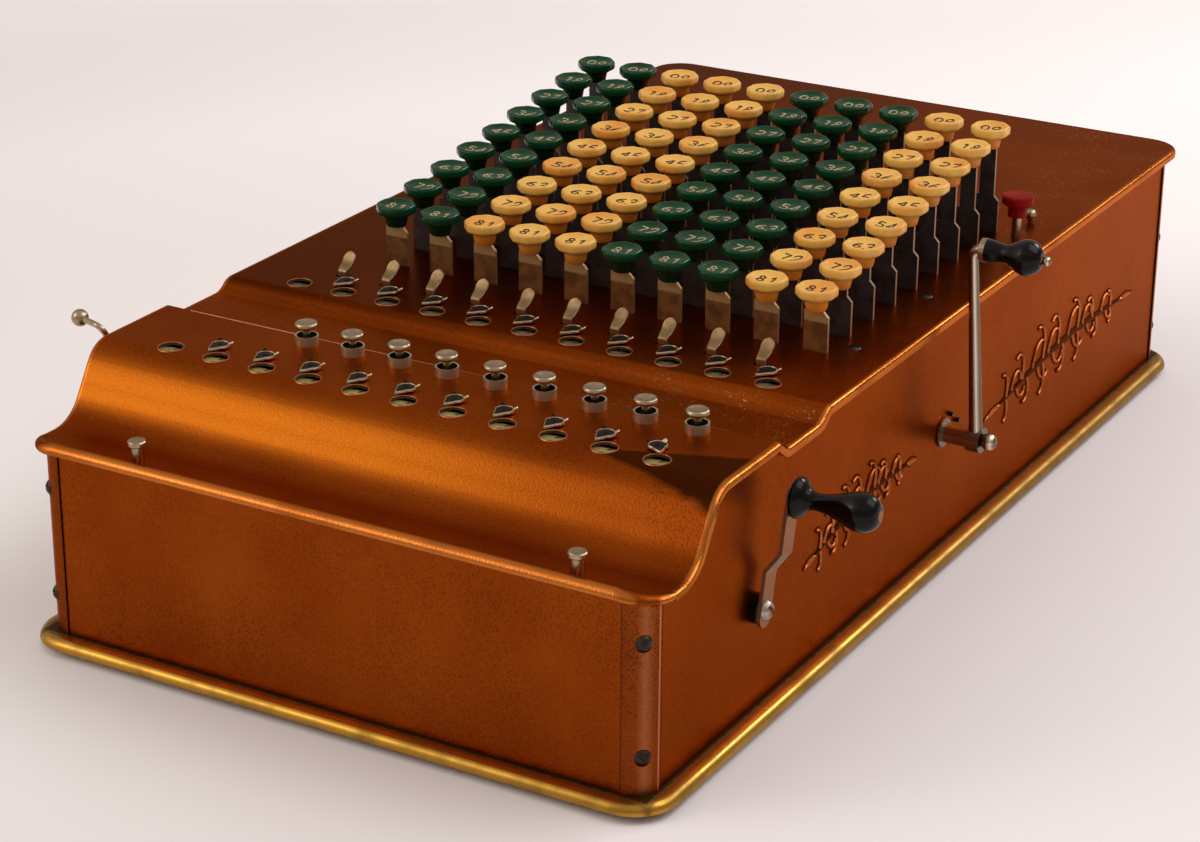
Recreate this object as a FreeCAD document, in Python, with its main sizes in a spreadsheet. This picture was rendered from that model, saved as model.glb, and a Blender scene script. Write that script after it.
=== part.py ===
import FreeCAD, Part
import math
import os
import re

import Sketcher

os.makedirs("parts", exist_ok=True)
doc = FreeCAD.newDocument("key_calculator")
sheet = doc.addObject("Spreadsheet::Sheet", "Sizes")

# Sizes in millimetres and degrees, one named value each
SIZES = {
    # case
    "case_width": 236.0,
    "case_depth": 446.0,
    "foot_height": 3.0,
    "foot_radius": 7.0,
    "foot_inset": 20.0,
    "foot_spigot_radius": 2.5,
    "foot_spigot_length": 1.6,
    "base_thickness": 3.6,
    "rim_overhang": 7.0,
    "rim_round": 3.3,
    "panel_thickness": 1.5,
    "post_radius": 9.0,
    "post_proud": 0.5,
    "screw_head_radius": 2.9,
    "screw_head_height": 1.7,
    "screw_shank_radius": 1.5,
    "screw_shank_length": 5.0,
    "screw_slot_width": 0.8,
    "screw_slot_depth": 0.8,
    "post_screw_low": 20.0,
    "post_screw_high": 59.5,
    # covers
    "cover_overhang": 4.5,
    "cover_border_depth": 3.0,
    "cover_edge_round": 1.5,
    "cover_corner_radius": 14.0,
    "register_sheet": 1.0,
    "keyboard_sheet": 0.9,
    "lip_height": 75.6,
    "lip_length": 14.0,
    "lip_bead_radius": 2.4,
    "lip_bead_forward": 2.0,
    "lip_bead_rise": 1.0,
    "cove_radius": 15.0,
    "shoulder_radius": 12.0,
    "cover_slope": 58.0,
    "register_height": 100.0,
    "ridge_position": 78.5,
    "cover_overlap": 2.5,
    "step_radius": 5.0,
    "step_slope": 38.0,
    "strip_height": 95.6,
    "rise_start": 107.0,
    "rise_radius": 7.0,
    "rise_slope": 38.0,
    "plate_height": 99.5,
    # windows and wheels
    "window_count": 11,
    "window_side_margin": 22.75,
    "column_pitch": "=(case_width - 2 * window_side_margin) / (window_count - 1)",
    "window_radius": 4.4,
    "lower_window_position": 46.2,
    "upper_window_position": 122.6,
    "wheel_radius": 14.0,
    "wheel_width": 11.0,
    "wheel_hub_radius": 6.0,
    "wheel_hub_length": 12.4,
    "wheel_rim_depth": 2.0,
    "wheel_window_gap": 0.3,
    "register_shaft_radius": 3.0,
    "running_clearance": 0.05,
    # keys
    "key_columns": 10,
    "key_rows": 9,
    "key_first_row": 157.9,
    "key_row_pitch": 18.3,
    "key_row_rise": 2.3,
    "key_first_top": 123.0,
    "cap_radius": 7.5,
    "cap_flat_radius": 7.15,
    "cap_rim_height": 3.5,
    "cap_underside_height": 1.2,
    "cap_neck_height": 3.7,
    "cap_neck_top_radius": 4.3,
    "cap_neck_bottom_radius": 3.7,
    "cap_dish_depth": 1.7,
    "stem_thickness": 1.2,
    "stem_left": 4.3,
    "stem_right": 4.9,
    "tongue_half_width": 3.0,
    "tongue_in_cap": 3.0,
    "blade_above_plate": 14.6,
    "slot_clearance": 0.35,
    "guide_height": 82.0,
    "guide_thickness": 1.5,
    "guide_margin": 10.0,
    # frame and levers
    "frame_gap": 1.5,
    "frame_thickness": 2.0,
    "frame_height": 90.5,
    "frame_front": 20.0,
    "frame_front_height": 64.0,
    "frame_slope_end": 38.0,
    "frame_back_inset": 21.0,
    "rod_radius": 2.5,
    "lever_pivot_position": 345.0,
    "lever_pivot_height": 60.0,
    "lever_top": 66.0,
    "lever_depth": 9.0,
    "lever_front": 100.0,
    "lever_thickness": 1.6,
    "lever_hub_radius": 6.0,
    "lever_angle_per_digit": 0.7735,
    "press_gap": 0.4,
    "low_rod_height": 20.0,
    "front_rod_position": 30.0,
    "middle_rod_position": 235.0,
    "back_rod_inset": 34.0,
    "back_rod_height": 80.0,
    # cut-off buttons
    "button_count": 9,
    "button_position": 72.8,
    "button_radius": 4.1,
    "button_thickness": 2.5,
    "button_top": 8.0,
    "button_neck_radius": 1.6,
    "button_stem_length": 16.0,
    "collar_radius": 4.1,
    "collar_height": 3.3,
    "collar_wall": 0.6,
    "collar_floor": 1.0,
    # carry paddles
    "paddle_position": 135.6,
    "paddle_width": 5.0,
    "paddle_thickness": 0.9,
    "paddle_riser": 2.2,
    "paddle_run": 4.2,
    "paddle_bend": 30.0,
    "paddle_tip_run": 4.4,
    "paddle_tip_angle": 52.0,
    "paddle_rod_radius": 1.5,
    "paddle_rod_back": 5.0,
    "paddle_rod_depth": 9.5,
    "paddle_hub_radius": 2.9,
    "paddle_slot_swing": 1.7,
    # decimal pointers
    "pointer_side": 4.2,
    "pointer_back": 8.0,
    "pointer_length": 6.2,
    "pointer_disc": 3.3,
    "pointer_tab_width": 1.7,
    "pointer_tab_length": 1.7,
    "pointer_tab_rise": 20.0,
    "pointer_tab_angle": 42.0,
    "pointer_lift": 0.5,
    "pointer_thickness": 1.0,
    "pointer_pivot_radius": 1.2,
    "lower_pointer_angle": -5.0,
    "upper_pointer_angle": -16.0,
    "pointer_set_angle": 36.0,
    # front crank
    "front_crank_position": 71.5,
    "front_crank_height": 43.5,
    "front_crank_lean": 13.0,
    "front_crank_length": 39.0,
    "front_hub_radius": 5.2,
    "front_hub_length": 3.2,
    "strap_width": 7.8,
    "strap_thickness": 1.3,
    "strap_joggle_start": 13.5,
    "strap_joggle_end": 20.5,
    "strap_offset": 4.6,
    "strap_end": 6.0,
    "crank_screw_radius": 1.9,
    "crank_screw_head_radius": 3.6,
    "crank_screw_head_height": 2.6,
    "grip_pin_radius": 1.8,
    "front_grip_length": 30.0,
    "front_grip_flange_radius": 7.0,
    "front_grip_neck_radius": 3.0,
    "front_grip_bulb_radius": 6.6,
    # rear crank
    "rear_crank_position": 219.5,
    "rear_crank_height": 51.8,
    "rear_crank_lean": -9.0,
    "rear_crank_length": 77.5,
    "rear_shaft_radius": 3.6,
    "rear_shaft_out": 10.6,
    "rear_washer_radius": 5.4,
    "rear_washer_thickness": 0.8,
    "rear_pin_radius": 1.8,
    "rear_eye_radius": 4.7,
    "rear_arm_low_radius": 2.6,
    "rear_arm_top_radius": 1.75,
    "rear_elbow_radius": 3.2,
    "rear_nut_radius": 3.1,
    "rear_ferrule_radius": 4.2,
    "rear_ferrule_length": 2.0,
    "rear_grip_length": 20.4,
    "rear_grip_waist_radius": 3.3,
    "rear_grip_bulb_radius": 6.4,
    "rear_tip_radius": 1.7,
    "stop_pin_radius": 0.9,
    "stop_pin_out": 1.6,
    "stop_pin_back_1": 5.7,
    "stop_pin_rise_1": 5.2,
    "stop_pin_back_2": 12.0,
    "stop_pin_rise_2": 0.6,
    # left lever
    "left_lever_position": 62.0,
    "left_lever_height": 80.0,
    "left_hub_radius": 3.5,
    "left_hub_length": 2.5,
    "left_shaft_radius": 1.2,
    "left_rod_radius": 1.1,
    "left_rod_out": 8.3,
    "left_rod_rise": 21.0,
    "left_rod_forward": 15.0,
    "left_rod_bend": 2.5,
    "left_ball_radius": 3.1,
    "left_ball_out": 21.0,
    "left_ball_forward": 10.5,
    "left_ball_rise": 20.5,
    # red key, stud and pins
    "red_key_inset": 10.1,
    "red_key_position": 304.6,
    "red_stem_radius": 1.9,
    "red_stem_above": 8.2,
    "red_stem_below": 26.0,
    "red_neck_radius": 3.6,
    "red_neck_height": 4.6,
    "red_cap_radius": 6.1,
    "red_cap_height": 4.0,
    "red_bore_depth": 3.0,
    "stud_inset": 11.7,
    "stud_position": 322.8,
    "stud_ball_radius": 2.3,
    "stud_stem_radius": 1.2,
    "stud_rise": 3.0,
    "pin_position": 3.2,
    "pin_left_inset": 40.5,
    "pin_right_inset": 26.5,
    "pin_radius": 2.3,
    "pin_spigot_radius": 1.4,
    "pin_height": 7.2,
    "pin_head_radius": 3.2,
    "pin_head_height": 2.0,
    "plate_screw_inset": 12.2,
    "plate_screw_front": 167.0,
    "plate_screw_back": 226.8,
    "plate_screw_radius": 2.6,
    "plate_screw_height": 0.9,
}

for row, (name, number) in enumerate(SIZES.items(), start=1):
    sheet.set("A%d" % row, name)
    sheet.set("B%d" % row, str(number))
    sheet.setAlias("B%d" % row, name)
doc.recompute()


# Helpers
def bind(text):
    """Prefix each size name in an expression with its sheet."""
    def prefixed(match):
        word = match.group(0)
        return "Sizes." + word if word in SIZES else word
    return re.sub(r"[A-Za-z_]\w*", prefixed, text)


def value(text):
    """Number that an expression in size names gives now."""
    return float(sheet.evalExpression(bind(text)))


def vector(x, y, z):
    return FreeCAD.Vector(x, y, z)


def bent_rod(points, bend, radius):
    """Round rod along straight runs through points, joined by arcs of one bend radius."""
    edges = []
    start = points[0]
    for before, here, after in zip(points, points[1:], points[2:]):
        arriving = (here - before).normalize()
        leaving = (after - here).normalize()
        half = arriving.getAngle(leaving) / 2
        reach = bend * math.tan(half)
        centre = here + (leaving - arriving).normalize() * (bend / math.cos(half))
        middle = centre + (here - centre).normalize() * bend
        edges.append(Part.makeLine(start, here - arriving * reach))
        start = here + leaving * reach
        edges.append(Part.Arc(here - arriving * reach, middle, start).toShape())
    edges.append(Part.makeLine(start, points[-1]))
    ring = Part.Wire(Part.makeCircle(radius, points[0], points[1] - points[0]))
    return Part.Wire(edges).makePipeShell([ring], True, False)


def plane_of(body, role):
    return next(item for item in body.Origin.OriginFeatures if item.Role == role)


def new_body(label, solids_apart=False):
    body = doc.addObject("PartDesign::Body", label)
    body.Label = label
    body.AllowCompound = solids_apart
    return body


def place(item, x="0", y="0", z="0"):
    """Tie an object's position to the sheet."""
    for axis, text in zip("xyz", (x, y, z)):
        item.setExpression("Placement.Base." + axis, bind(text))


def outline(body, name, role, points=(), circles=(), height=None):
    """Sketch of straight sides through points, and circles, all tied to the sheet."""
    sketch = body.newObject("Sketcher::SketchObject", name)
    sketch.AttachmentSupport = [(plane_of(body, role), "")]
    sketch.MapMode = "FlatFace"
    corners = [vector(value(a), value(b), 0) for a, b in points]
    count = len(corners)
    for index in range(count):
        sketch.addGeometry(Part.LineSegment(corners[index], corners[(index + 1) % count]), False)
    for index in range(count):
        sketch.addConstraint(Sketcher.Constraint("Coincident", index, 2, (index + 1) % count, 1))
    for index, (across, up) in enumerate(points):
        for kind, text in (("DistanceX", across), ("DistanceY", up)):
            number = sketch.addConstraint(
                Sketcher.Constraint(kind, -1, 1, index, 1, value(text)))
            sketch.setExpression("Constraints[%d]" % number, bind(text))
    for across, up, radius in circles:
        middle = vector(value(across), value(up), 0)
        circle = sketch.addGeometry(
            Part.Circle(middle, vector(0, 0, 1), value(radius)), False)
        number = sketch.addConstraint(Sketcher.Constraint("Radius", circle, value(radius)))
        sketch.setExpression("Constraints[%d]" % number, bind(radius))
        for kind, text in (("DistanceX", across), ("DistanceY", up)):
            number = sketch.addConstraint(
                Sketcher.Constraint(kind, -1, 1, circle, 3, value(text)))
            sketch.setExpression("Constraints[%d]" % number, bind(text))
    if height is not None:
        sketch.setExpression("AttachmentOffset.Base.z", bind(height))
    return sketch


def pad(body, sketch, length, middle=False, backward=False):
    feature = body.newObject("PartDesign::Pad", sketch.Name + "_pad")
    feature.Profile = sketch
    feature.setExpression("Length", bind(length))
    feature.Midplane = middle
    feature.Reversed = backward
    doc.recompute()
    return feature


def pocket(body, sketch, length, middle=False, backward=False):
    feature = body.newObject("PartDesign::Pocket", sketch.Name + "_pocket")
    feature.Profile = sketch
    feature.setExpression("Length", bind(length))
    feature.Midplane = middle
    feature.Reversed = backward
    doc.recompute()
    return feature


def revolve(body, sketch, axis_role):
    feature = body.newObject("PartDesign::Revolution", sketch.Name + "_turn")
    feature.Profile = sketch
    feature.ReferenceAxis = (plane_of(body, axis_role), [""])
    feature.Angle = 360
    doc.recompute()
    return feature


def repeat_along_x(body, features, count, pitch):
    """Copies of features along X, as many and as far apart as the sheet says."""
    pattern = body.newObject("PartDesign::LinearPattern", body.Name + "_row")
    pattern.Originals = features
    pattern.Direction = (plane_of(body, "X_Axis"), [""])
    pattern.setExpression("Occurrences", bind(count))
    pattern.setExpression("Length", bind("(%s - 1) * %s" % (count, pitch)))
    body.Tip = pattern
    doc.recompute()
    return pattern


def fillet(body, base, picked, radius):
    feature = body.newObject("PartDesign::Fillet", base.Name + "_round")
    feature.Base = (base, picked)
    feature.setExpression("Radius", bind(radius))
    doc.recompute()
    return feature


def computed(label, shape):
    feature = doc.addObject("Part::Feature", label)
    feature.Label = label
    feature.Shape = shape
    return feature


def back(distance):
    """Y of a place given as its distance behind the front panel's face."""
    return value("-case_depth/2") + value(distance)


def back_text(name):
    return "(%s - case_depth/2)" % name


# Curved outline in the side view, as runs and turns
def side_path(start, steps, drop=0.0):
    """Edges of a path that starts level, moved square to itself by a drop."""
    y, z = start
    heading = 0.0
    point = vector(0, y, z - drop)
    edges = []
    for kind, first, second in steps:
        along = vector(0, math.cos(heading), math.sin(heading))
        if kind == "run":
            following = point + along * first
            if first > 1e-6:
                edges.append(Part.makeLine(point, following))
        else:
            side = 1.0 if second > 0 else -1.0
            radius = first + side * drop
            normal = vector(0, -math.sin(heading), math.cos(heading)) * side
            centre = point + normal * radius
            turn = math.radians(second)
            half = turn_about(point, centre, turn / 2)
            following = turn_about(point, centre, turn)
            edges.append(Part.Arc(point, half, following).toShape())
            heading += turn
        point = following
    return edges, point


def turn_about(point, centre, angle):
    reach = point - centre
    cos, sin = math.cos(angle), math.sin(angle)
    return centre + vector(0, reach.y * cos - reach.z * sin, reach.y * sin + reach.z * cos)


def s_bend(radius_in, radius_out, slope, rise):
    """Steps of an S bend that climbs by rise between two level runs."""
    angle = math.radians(slope)
    climb = abs(rise) - (radius_in + radius_out) * (1 - math.cos(angle))
    side = 1 if rise > 0 else -1
    return [("turn", radius_in, side * slope),
            ("run", climb / math.sin(angle), 0),
            ("turn", radius_out, -side * slope)]


def bend_length(radius_in, radius_out, slope, rise):
    angle = math.radians(slope)
    climb = abs(rise) - (radius_in + radius_out) * (1 - math.cos(angle))
    return (radius_in + radius_out) * math.sin(angle) + climb / math.tan(angle)


def register_path(end, drop=0.0):
    """Register cover's top line, from the lip to a place behind the front."""
    rise = value("register_height - lip_height")
    bend = (value("cove_radius"), value("shoulder_radius"), value("cover_slope"), rise)
    flat = end - value("lip_length") - bend_length(*bend)
    steps = [("run", value("lip_length"), 0)] + s_bend(*bend) + [("run", flat, 0)]
    return side_path((back("0"), value("lip_height")), steps, drop)


def keyboard_path(end, drop=0.0):
    """Keyboard cover's top line, from under the register cover to the back."""
    start = value("ridge_position - cover_overlap")
    start_height = value("register_height - register_sheet")
    step = (value("step_radius"), value("step_radius"), value("step_slope"),
            value("strip_height") - start_height)
    rise = (value("rise_radius"), value("rise_radius"), value("rise_slope"),
            value("plate_height - strip_height"))
    strip_start = value("ridge_position") + bend_length(*step)
    rise_end = value("rise_start") + bend_length(*rise)
    steps = [("run", value("cover_overlap"), 0)] + s_bend(*step)
    steps += [("run", value("rise_start") - strip_start, 0)] + s_bend(*rise)
    steps += [("run", end - rise_end, 0)]
    return side_path((start + back("0"), start_height), steps, drop)


def band(path, end, depth, low, high):
    """Solid between a path and the same path dropped by depth, from X low to high."""
    upper, upper_end = path(end)
    lower, lower_end = path(end, depth)
    upper_start = upper[0].Vertexes[0].Point
    lower_start = lower[0].Vertexes[0].Point
    edges = upper + [Part.makeLine(upper_end, lower_end)]
    edges += lower + [Part.makeLine(upper_start, lower_start)]
    wire = Part.Wire(Part.__sortEdges__(edges))
    solid = Part.Face(wire).extrude(vector(high - low, 0, 0))
    solid.translate(vector(low, 0, 0))
    return solid


def edges_on(solid, path, end, side):
    """A solid's edges that lie on a cover's top line at one X."""
    line = Part.Wire(path(end)[0])
    line.translate(vector(side, 0, 0))
    found = []
    for edge in solid.Edges:
        middle = edge.valueAt((edge.FirstParameter + edge.LastParameter) / 2)
        if line.distToShape(Part.Vertex(middle))[0] < 1e-4:
            found.append(edge)
    return found


def side_outline(edges, low, last):
    """Face under a path, closed down to a height."""
    first = edges[0].Vertexes[0].Point
    corner_back = vector(0, last.y, low)
    corner_front = vector(0, first.y, low)
    closing = [Part.makeLine(last, corner_back), Part.makeLine(corner_back, corner_front),
               Part.makeLine(corner_front, first)]
    return Part.Face(Part.Wire(Part.__sortEdges__(edges + closing)))


def box_at(low, high):
    size = high - low
    return Part.makeBox(size.x, size.y, size.z, low)


BASE_TOP = "(foot_height + base_thickness)"
HALF = "case_width/2"
ABOVE = value("register_height + plate_height")
COVER_HALF = value("case_width/2 + cover_overhang")
FIRST_COLUMN = "(-(window_count - 1)/2 * column_pitch)"
KEY_COLUMNS = [value(FIRST_COLUMN + " + column_pitch") + value("column_pitch") * index
               for index in range(int(value("key_columns")))]
WINDOWS = [value(FIRST_COLUMN) + value("column_pitch") * index
           for index in range(int(value("window_count")))]
KEY_ROWS = list(range(int(value("key_rows"))))
IVORY_COLUMNS = (2, 3, 4, 8, 9)

# Base plate with its moulded rim, and the feet
base = new_body("base_plate")
place(base, z="foot_height")
base_sides = [("%s(%s + rim_overhang)" % (a, HALF), "%s(case_depth/2 + rim_overhang)" % b)
              for a, b in (("-", "-"), ("", "-"), ("", ""), ("-", ""))]
base_pad = pad(base, outline(base, "base_outline", "XY_Plane", base_sides), "base_thickness")
upright = ["Edge%d" % (number + 1) for number, edge in enumerate(base_pad.Shape.Edges)
           if abs(edge.tangentAt(edge.FirstParameter).z) > 0.9]
base_corners = fillet(base, base_pad, upright, "post_radius + rim_overhang")
rim = ["Edge%d" % (number + 1) for number, edge in enumerate(base_corners.Shape.Edges)
       if edge.BoundBox.ZMin > value("base_thickness") - 0.01]
fillet(base, base_corners, rim, "min(rim_round; base_thickness - 0.1)")

FEET = [(a + "(%s - foot_inset)" % HALF, b + "(case_depth/2 - foot_inset)")
        for a in ("-", "") for b in ("-", "")]
sockets = outline(base, "foot_sockets", "XY_Plane", circles=[
    (x, y, "foot_spigot_radius + running_clearance") for x, y in FEET])
pocket(base, sockets, "foot_spigot_length + running_clearance", backward=True)

feet = new_body("rubber_feet", solids_apart=True)
discs = outline(feet, "foot_discs", "XY_Plane", circles=[(x, y, "foot_radius") for x, y in FEET])
pad(feet, discs, "foot_height")
spigots = outline(feet, "foot_spigots", "XY_Plane", height="foot_height",
                  circles=[(x, y, "foot_spigot_radius") for x, y in FEET])
pad(feet, spigots, "foot_spigot_length")

# Front and rear panels
front_panel = doc.addObject("Part::Box", "front_panel")
rear_panel = doc.addObject("Part::Box", "rear_panel")
for panel, top in ((front_panel, "lip_height - register_sheet"),
                   (rear_panel, "plate_height - keyboard_sheet")):
    panel.setExpression("Length", bind("case_width - 2*post_radius"))
    panel.setExpression("Width", bind("panel_thickness"))
    panel.setExpression("Height", bind("%s - %s" % (top, BASE_TOP)))
place(front_panel, "-case_width/2 + post_radius", "-case_depth/2", BASE_TOP)
place(rear_panel, "-case_width/2 + post_radius", "case_depth/2 - panel_thickness", BASE_TOP)

# Side panels, cut along the covers' underside
overlap_start = value("ridge_position - cover_overlap")
panel_back = value("case_depth - post_radius")
under_register, under_end = register_path(overlap_start, value("register_sheet"))
under_keyboard, keyboard_end = keyboard_path(panel_back, value("keyboard_sheet"))
step_down = Part.makeLine(under_end, under_keyboard[0].Vertexes[0].Point)
panel_face = side_outline(under_register + [step_down] + under_keyboard,
                          value(BASE_TOP), keyboard_end)
panel_blank = panel_face.extrude(vector(value("panel_thickness"), 0, 0))
front_corner = box_at(vector(-1, back("0") - 1, value(BASE_TOP) - 1),
                      vector(value("panel_thickness") + 1, back("post_radius"),
                             value("lip_height")))
panel_blank = panel_blank.cut(front_corner)


def cross_hole(position, height, radius, low, high):
    return Part.makeCylinder(radius, high - low, vector(low, position, height), vector(1, 0, 0))


FRAME_IN = value("case_width/2 - panel_thickness - frame_gap - frame_thickness")
FRAME_OUT = value("case_width/2 - panel_thickness - frame_gap")
SIDE_OUT = value("case_width/2")
GAP = value("running_clearance")
front_axis = (back("front_crank_position"), value("front_crank_height"))
rear_axis = (back("rear_crank_position"), value("rear_crank_height"))
left_axis = (back("left_lever_position"), value("left_lever_height"))
stop_pins = [(rear_axis[0] + value("stop_pin_back_%d" % number),
              rear_axis[1] + value("stop_pin_rise_%d" % number)) for number in (1, 2)]

right_panel_shape = panel_blank.copy()
right_panel_shape.translate(vector(value("case_width/2 - panel_thickness"), 0, 0))
for (y, z), radius in ((front_axis, value("crank_screw_radius") + GAP),
                       (rear_axis, value("rear_shaft_radius") + GAP),
                       (stop_pins[0], value("stop_pin_radius") + GAP),
                       (stop_pins[1], value("stop_pin_radius") + GAP)):
    right_panel_shape = right_panel_shape.cut(
        cross_hole(y, z, radius, FRAME_OUT, SIDE_OUT + 1))
right_panel = computed("right_side_panel", right_panel_shape)

left_panel_shape = panel_blank.copy()
left_panel_shape.translate(vector(-SIDE_OUT, 0, 0))
left_panel_shape = left_panel_shape.cut(
    cross_hole(*left_axis, value("left_shaft_radius") + GAP, -SIDE_OUT - 1, -FRAME_OUT))
left_panel = computed("left_side_panel", left_panel_shape)

# Quarter-round corner posts and their slotted screws
def round_screw(head, head_height, shank, shank_length, slot, slot_depth):
    """Domed slotted screw along +Z with its seat at the origin."""
    ball = (head ** 2 + head_height ** 2) / (2 * head_height)
    dome = Part.makeSphere(ball, vector(0, 0, head_height - ball))
    screw = dome.common(Part.makeCylinder(head, head_height))
    screw = screw.cut(box_at(vector(-head, -slot / 2, head_height - slot_depth),
                             vector(head, slot / 2, head_height + 1)))
    return screw.fuse(Part.makeCylinder(shank, shank_length, vector(0, 0, -shank_length)))


post_screw = round_screw(value("screw_head_radius"), value("screw_head_height"),
                         value("screw_shank_radius"), value("screw_shank_length"),
                         value("screw_slot_width"), value("screw_slot_depth"))
posts = []
screws = []
post_reach = value("post_radius + post_proud")
for side_x, side_y, turn in ((1, -1, 270), (1, 1, 0), (-1, 1, 90), (-1, -1, 180)):
    centre = vector(side_x * value("case_width/2 - post_radius"),
                    side_y * value("case_depth/2 - post_radius"), value(BASE_TOP))
    top = value("lip_height - register_sheet" if side_y < 0 else "plate_height - keyboard_sheet")
    post = Part.makeCylinder(post_reach, top - centre.z, centre, vector(0, 0, 1), 90)
    post.rotate(centre, vector(0, 0, 1), turn)
    outward = vector(side_x, side_y, 0).normalize()
    for height in (value("post_screw_low"), value("post_screw_high")):
        seat = centre + outward * (post_reach - 0.45)
        seat.z = height
        hole = Part.makeCylinder(value("screw_shank_radius") + GAP, 12,
                                 seat - outward * (value("screw_shank_length") + 0.2), outward)
        face = Part.makeCylinder(value("screw_head_radius") + 0.1, 3, seat, outward)
        post = post.cut(hole).cut(face)
        screw = post_screw.copy()
        screw.Placement = FreeCAD.Placement(
            seat, FreeCAD.Rotation(vector(0, 0, 1), outward))
        screws.append(screw)
    posts.append(post)
corner_posts = computed("corner_posts", Part.makeCompound(posts))

plate_screw = round_screw(value("plate_screw_radius"), value("plate_screw_height"),
                          value("screw_shank_radius"), value("screw_shank_length"),
                          value("screw_slot_width"), value("screw_slot_depth") * 0.7)
plate_screw_places = [vector(SIDE_OUT - value("plate_screw_inset"), back(name), value("plate_height"))
                      for name in ("plate_screw_front", "plate_screw_back")]
for spot in plate_screw_places:
    screw = plate_screw.copy()
    screw.translate(spot)
    screws.append(screw)
case_screws = computed("case_screws", Part.makeCompound(screws))

# Register cover with its rolled lip
border = value("cover_border_depth")
edge_round = value("min(cover_edge_round; cover_border_depth - 0.1)")
register_solid = band(register_path, value("ridge_position"), value("register_sheet"),
                      -SIDE_OUT, SIDE_OUT)
for side in (-1, 1):
    low, high = sorted((side * SIDE_OUT, side * COVER_HALF))
    register_border = band(register_path, value("ridge_position"), border, low, high)
    outer = edges_on(register_border, register_path, value("ridge_position"), side * COVER_HALF)
    register_solid = register_solid.fuse(register_border.makeFillet(edge_round, outer))
corner_radius = value("cover_corner_radius")
bead_radius = value("lip_bead_radius")
bead_centre = vector(0, back("0") - value("lip_bead_forward"),
                     value("lip_height + lip_bead_rise"))
corner_centre = vector(COVER_HALF - corner_radius,
                       bead_centre.y - bead_radius + corner_radius, 0)
bead = Part.makeCylinder(bead_radius, 2 * corner_centre.x,
                         bead_centre - vector(corner_centre.x, 0, 0), vector(1, 0, 0))
lip_front = box_at(
    vector(-COVER_HALF, bead_centre.y, value("lip_height - register_sheet")),
    vector(COVER_HALF, back("0") + 1, value("lip_height")))
thin_radius = border / 2
rings = []
for step in range(7):
    share = step / 6
    angle = math.radians(90 * share)
    radius = bead_radius + (thin_radius - bead_radius) * share
    fall = (value("lip_height") - thin_radius - bead_centre.z) * share
    ring = Part.Wire(Part.makeCircle(radius, vector(0, 0, 0), vector(1, 0, 0)))
    ring.rotate(vector(0, 0, 0), vector(0, 0, 1), math.degrees(angle))
    ring.translate(corner_centre + vector(0, 0, bead_centre.z + fall)
                   + vector(math.sin(angle), -math.cos(angle), 0) * (corner_radius - radius))
    rings.append(ring)
corner_roll = Part.makeLoft(rings, True)
corner_low = value("lip_height") - border - 1
corner_waste = box_at(vector(corner_centre.x, bead_centre.y - bead_radius - 1, corner_low),
                      vector(COVER_HALF + 1, corner_centre.y, ABOVE))
corner_waste = corner_waste.cut(Part.makeCylinder(
    corner_radius - (bead_radius + thin_radius) / 2, ABOVE,
    vector(corner_centre.x, corner_centre.y, corner_low)))
register_solid = register_solid.fuse(lip_front)
across = (vector(0, 0, 0), vector(1, 0, 0))
register_solid = register_solid.cut([corner_waste, corner_waste.mirror(*across)])
register_solid = register_solid.fuse([bead, corner_roll, corner_roll.mirror(*across)])
register_solid = register_solid.removeSplitter()


def upright_hole(x, y, radius, low=value("lip_height") - border, high=ABOVE):
    return Part.makeCylinder(radius, high - low, vector(x, y, low))


def post_hollows(rest, end):
    """Room under a cover's border for the two posts at one end of the case."""
    return [upright_hole(side * value("case_width/2 - post_radius"),
                         end * value("case_depth/2 - post_radius"),
                         post_reach + GAP, rest - 2 * border, rest)
            for side in (-1, 1)]


BUTTON_COLUMNS = WINDOWS[2:2 + int(value("button_count"))]
POINTED = len(WINDOWS) - 1


def pointer_places(window_row, usual_angle):
    """Pivot and angle of each pointer behind a row of windows."""
    spots = []
    for number, x in enumerate(WINDOWS):
        if number == 0:
            continue
        set_here = number == POINTED and window_row == "lower_window_position"
        angle = value("pointer_set_angle" if set_here else usual_angle)
        pivot = vector(x - value("pointer_side"), back(window_row) + value("pointer_back"), 0)
        spots.append((pivot, angle))
    return spots


lower_pointers = pointer_places("lower_window_position", "lower_pointer_angle")
upper_pointers = pointer_places("upper_window_position", "upper_pointer_angle")
pin_places = [vector(x, back("pin_position"), value("lip_height"))
              for x in (value("pin_left_inset") - SIDE_OUT, SIDE_OUT - value("pin_right_inset"))]
register_holes = [upright_hole(x, back("lower_window_position"), value("window_radius"))
                  for x in WINDOWS]
register_holes += [upright_hole(x, back("button_position"), value("button_neck_radius") + GAP)
                   for x in BUTTON_COLUMNS]
register_holes += [upright_hole(spot.x, spot.y, value("pointer_pivot_radius") + GAP)
                   for spot, angle in lower_pointers]
register_holes += [upright_hole(spot.x, spot.y, value("pin_spigot_radius") + GAP)
                   for spot in pin_places]
register_holes += post_hollows(value("lip_height - register_sheet"), -1)
register_cover = computed("register_cover",
                          register_solid.cut(Part.makeCompound(register_holes)))

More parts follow.
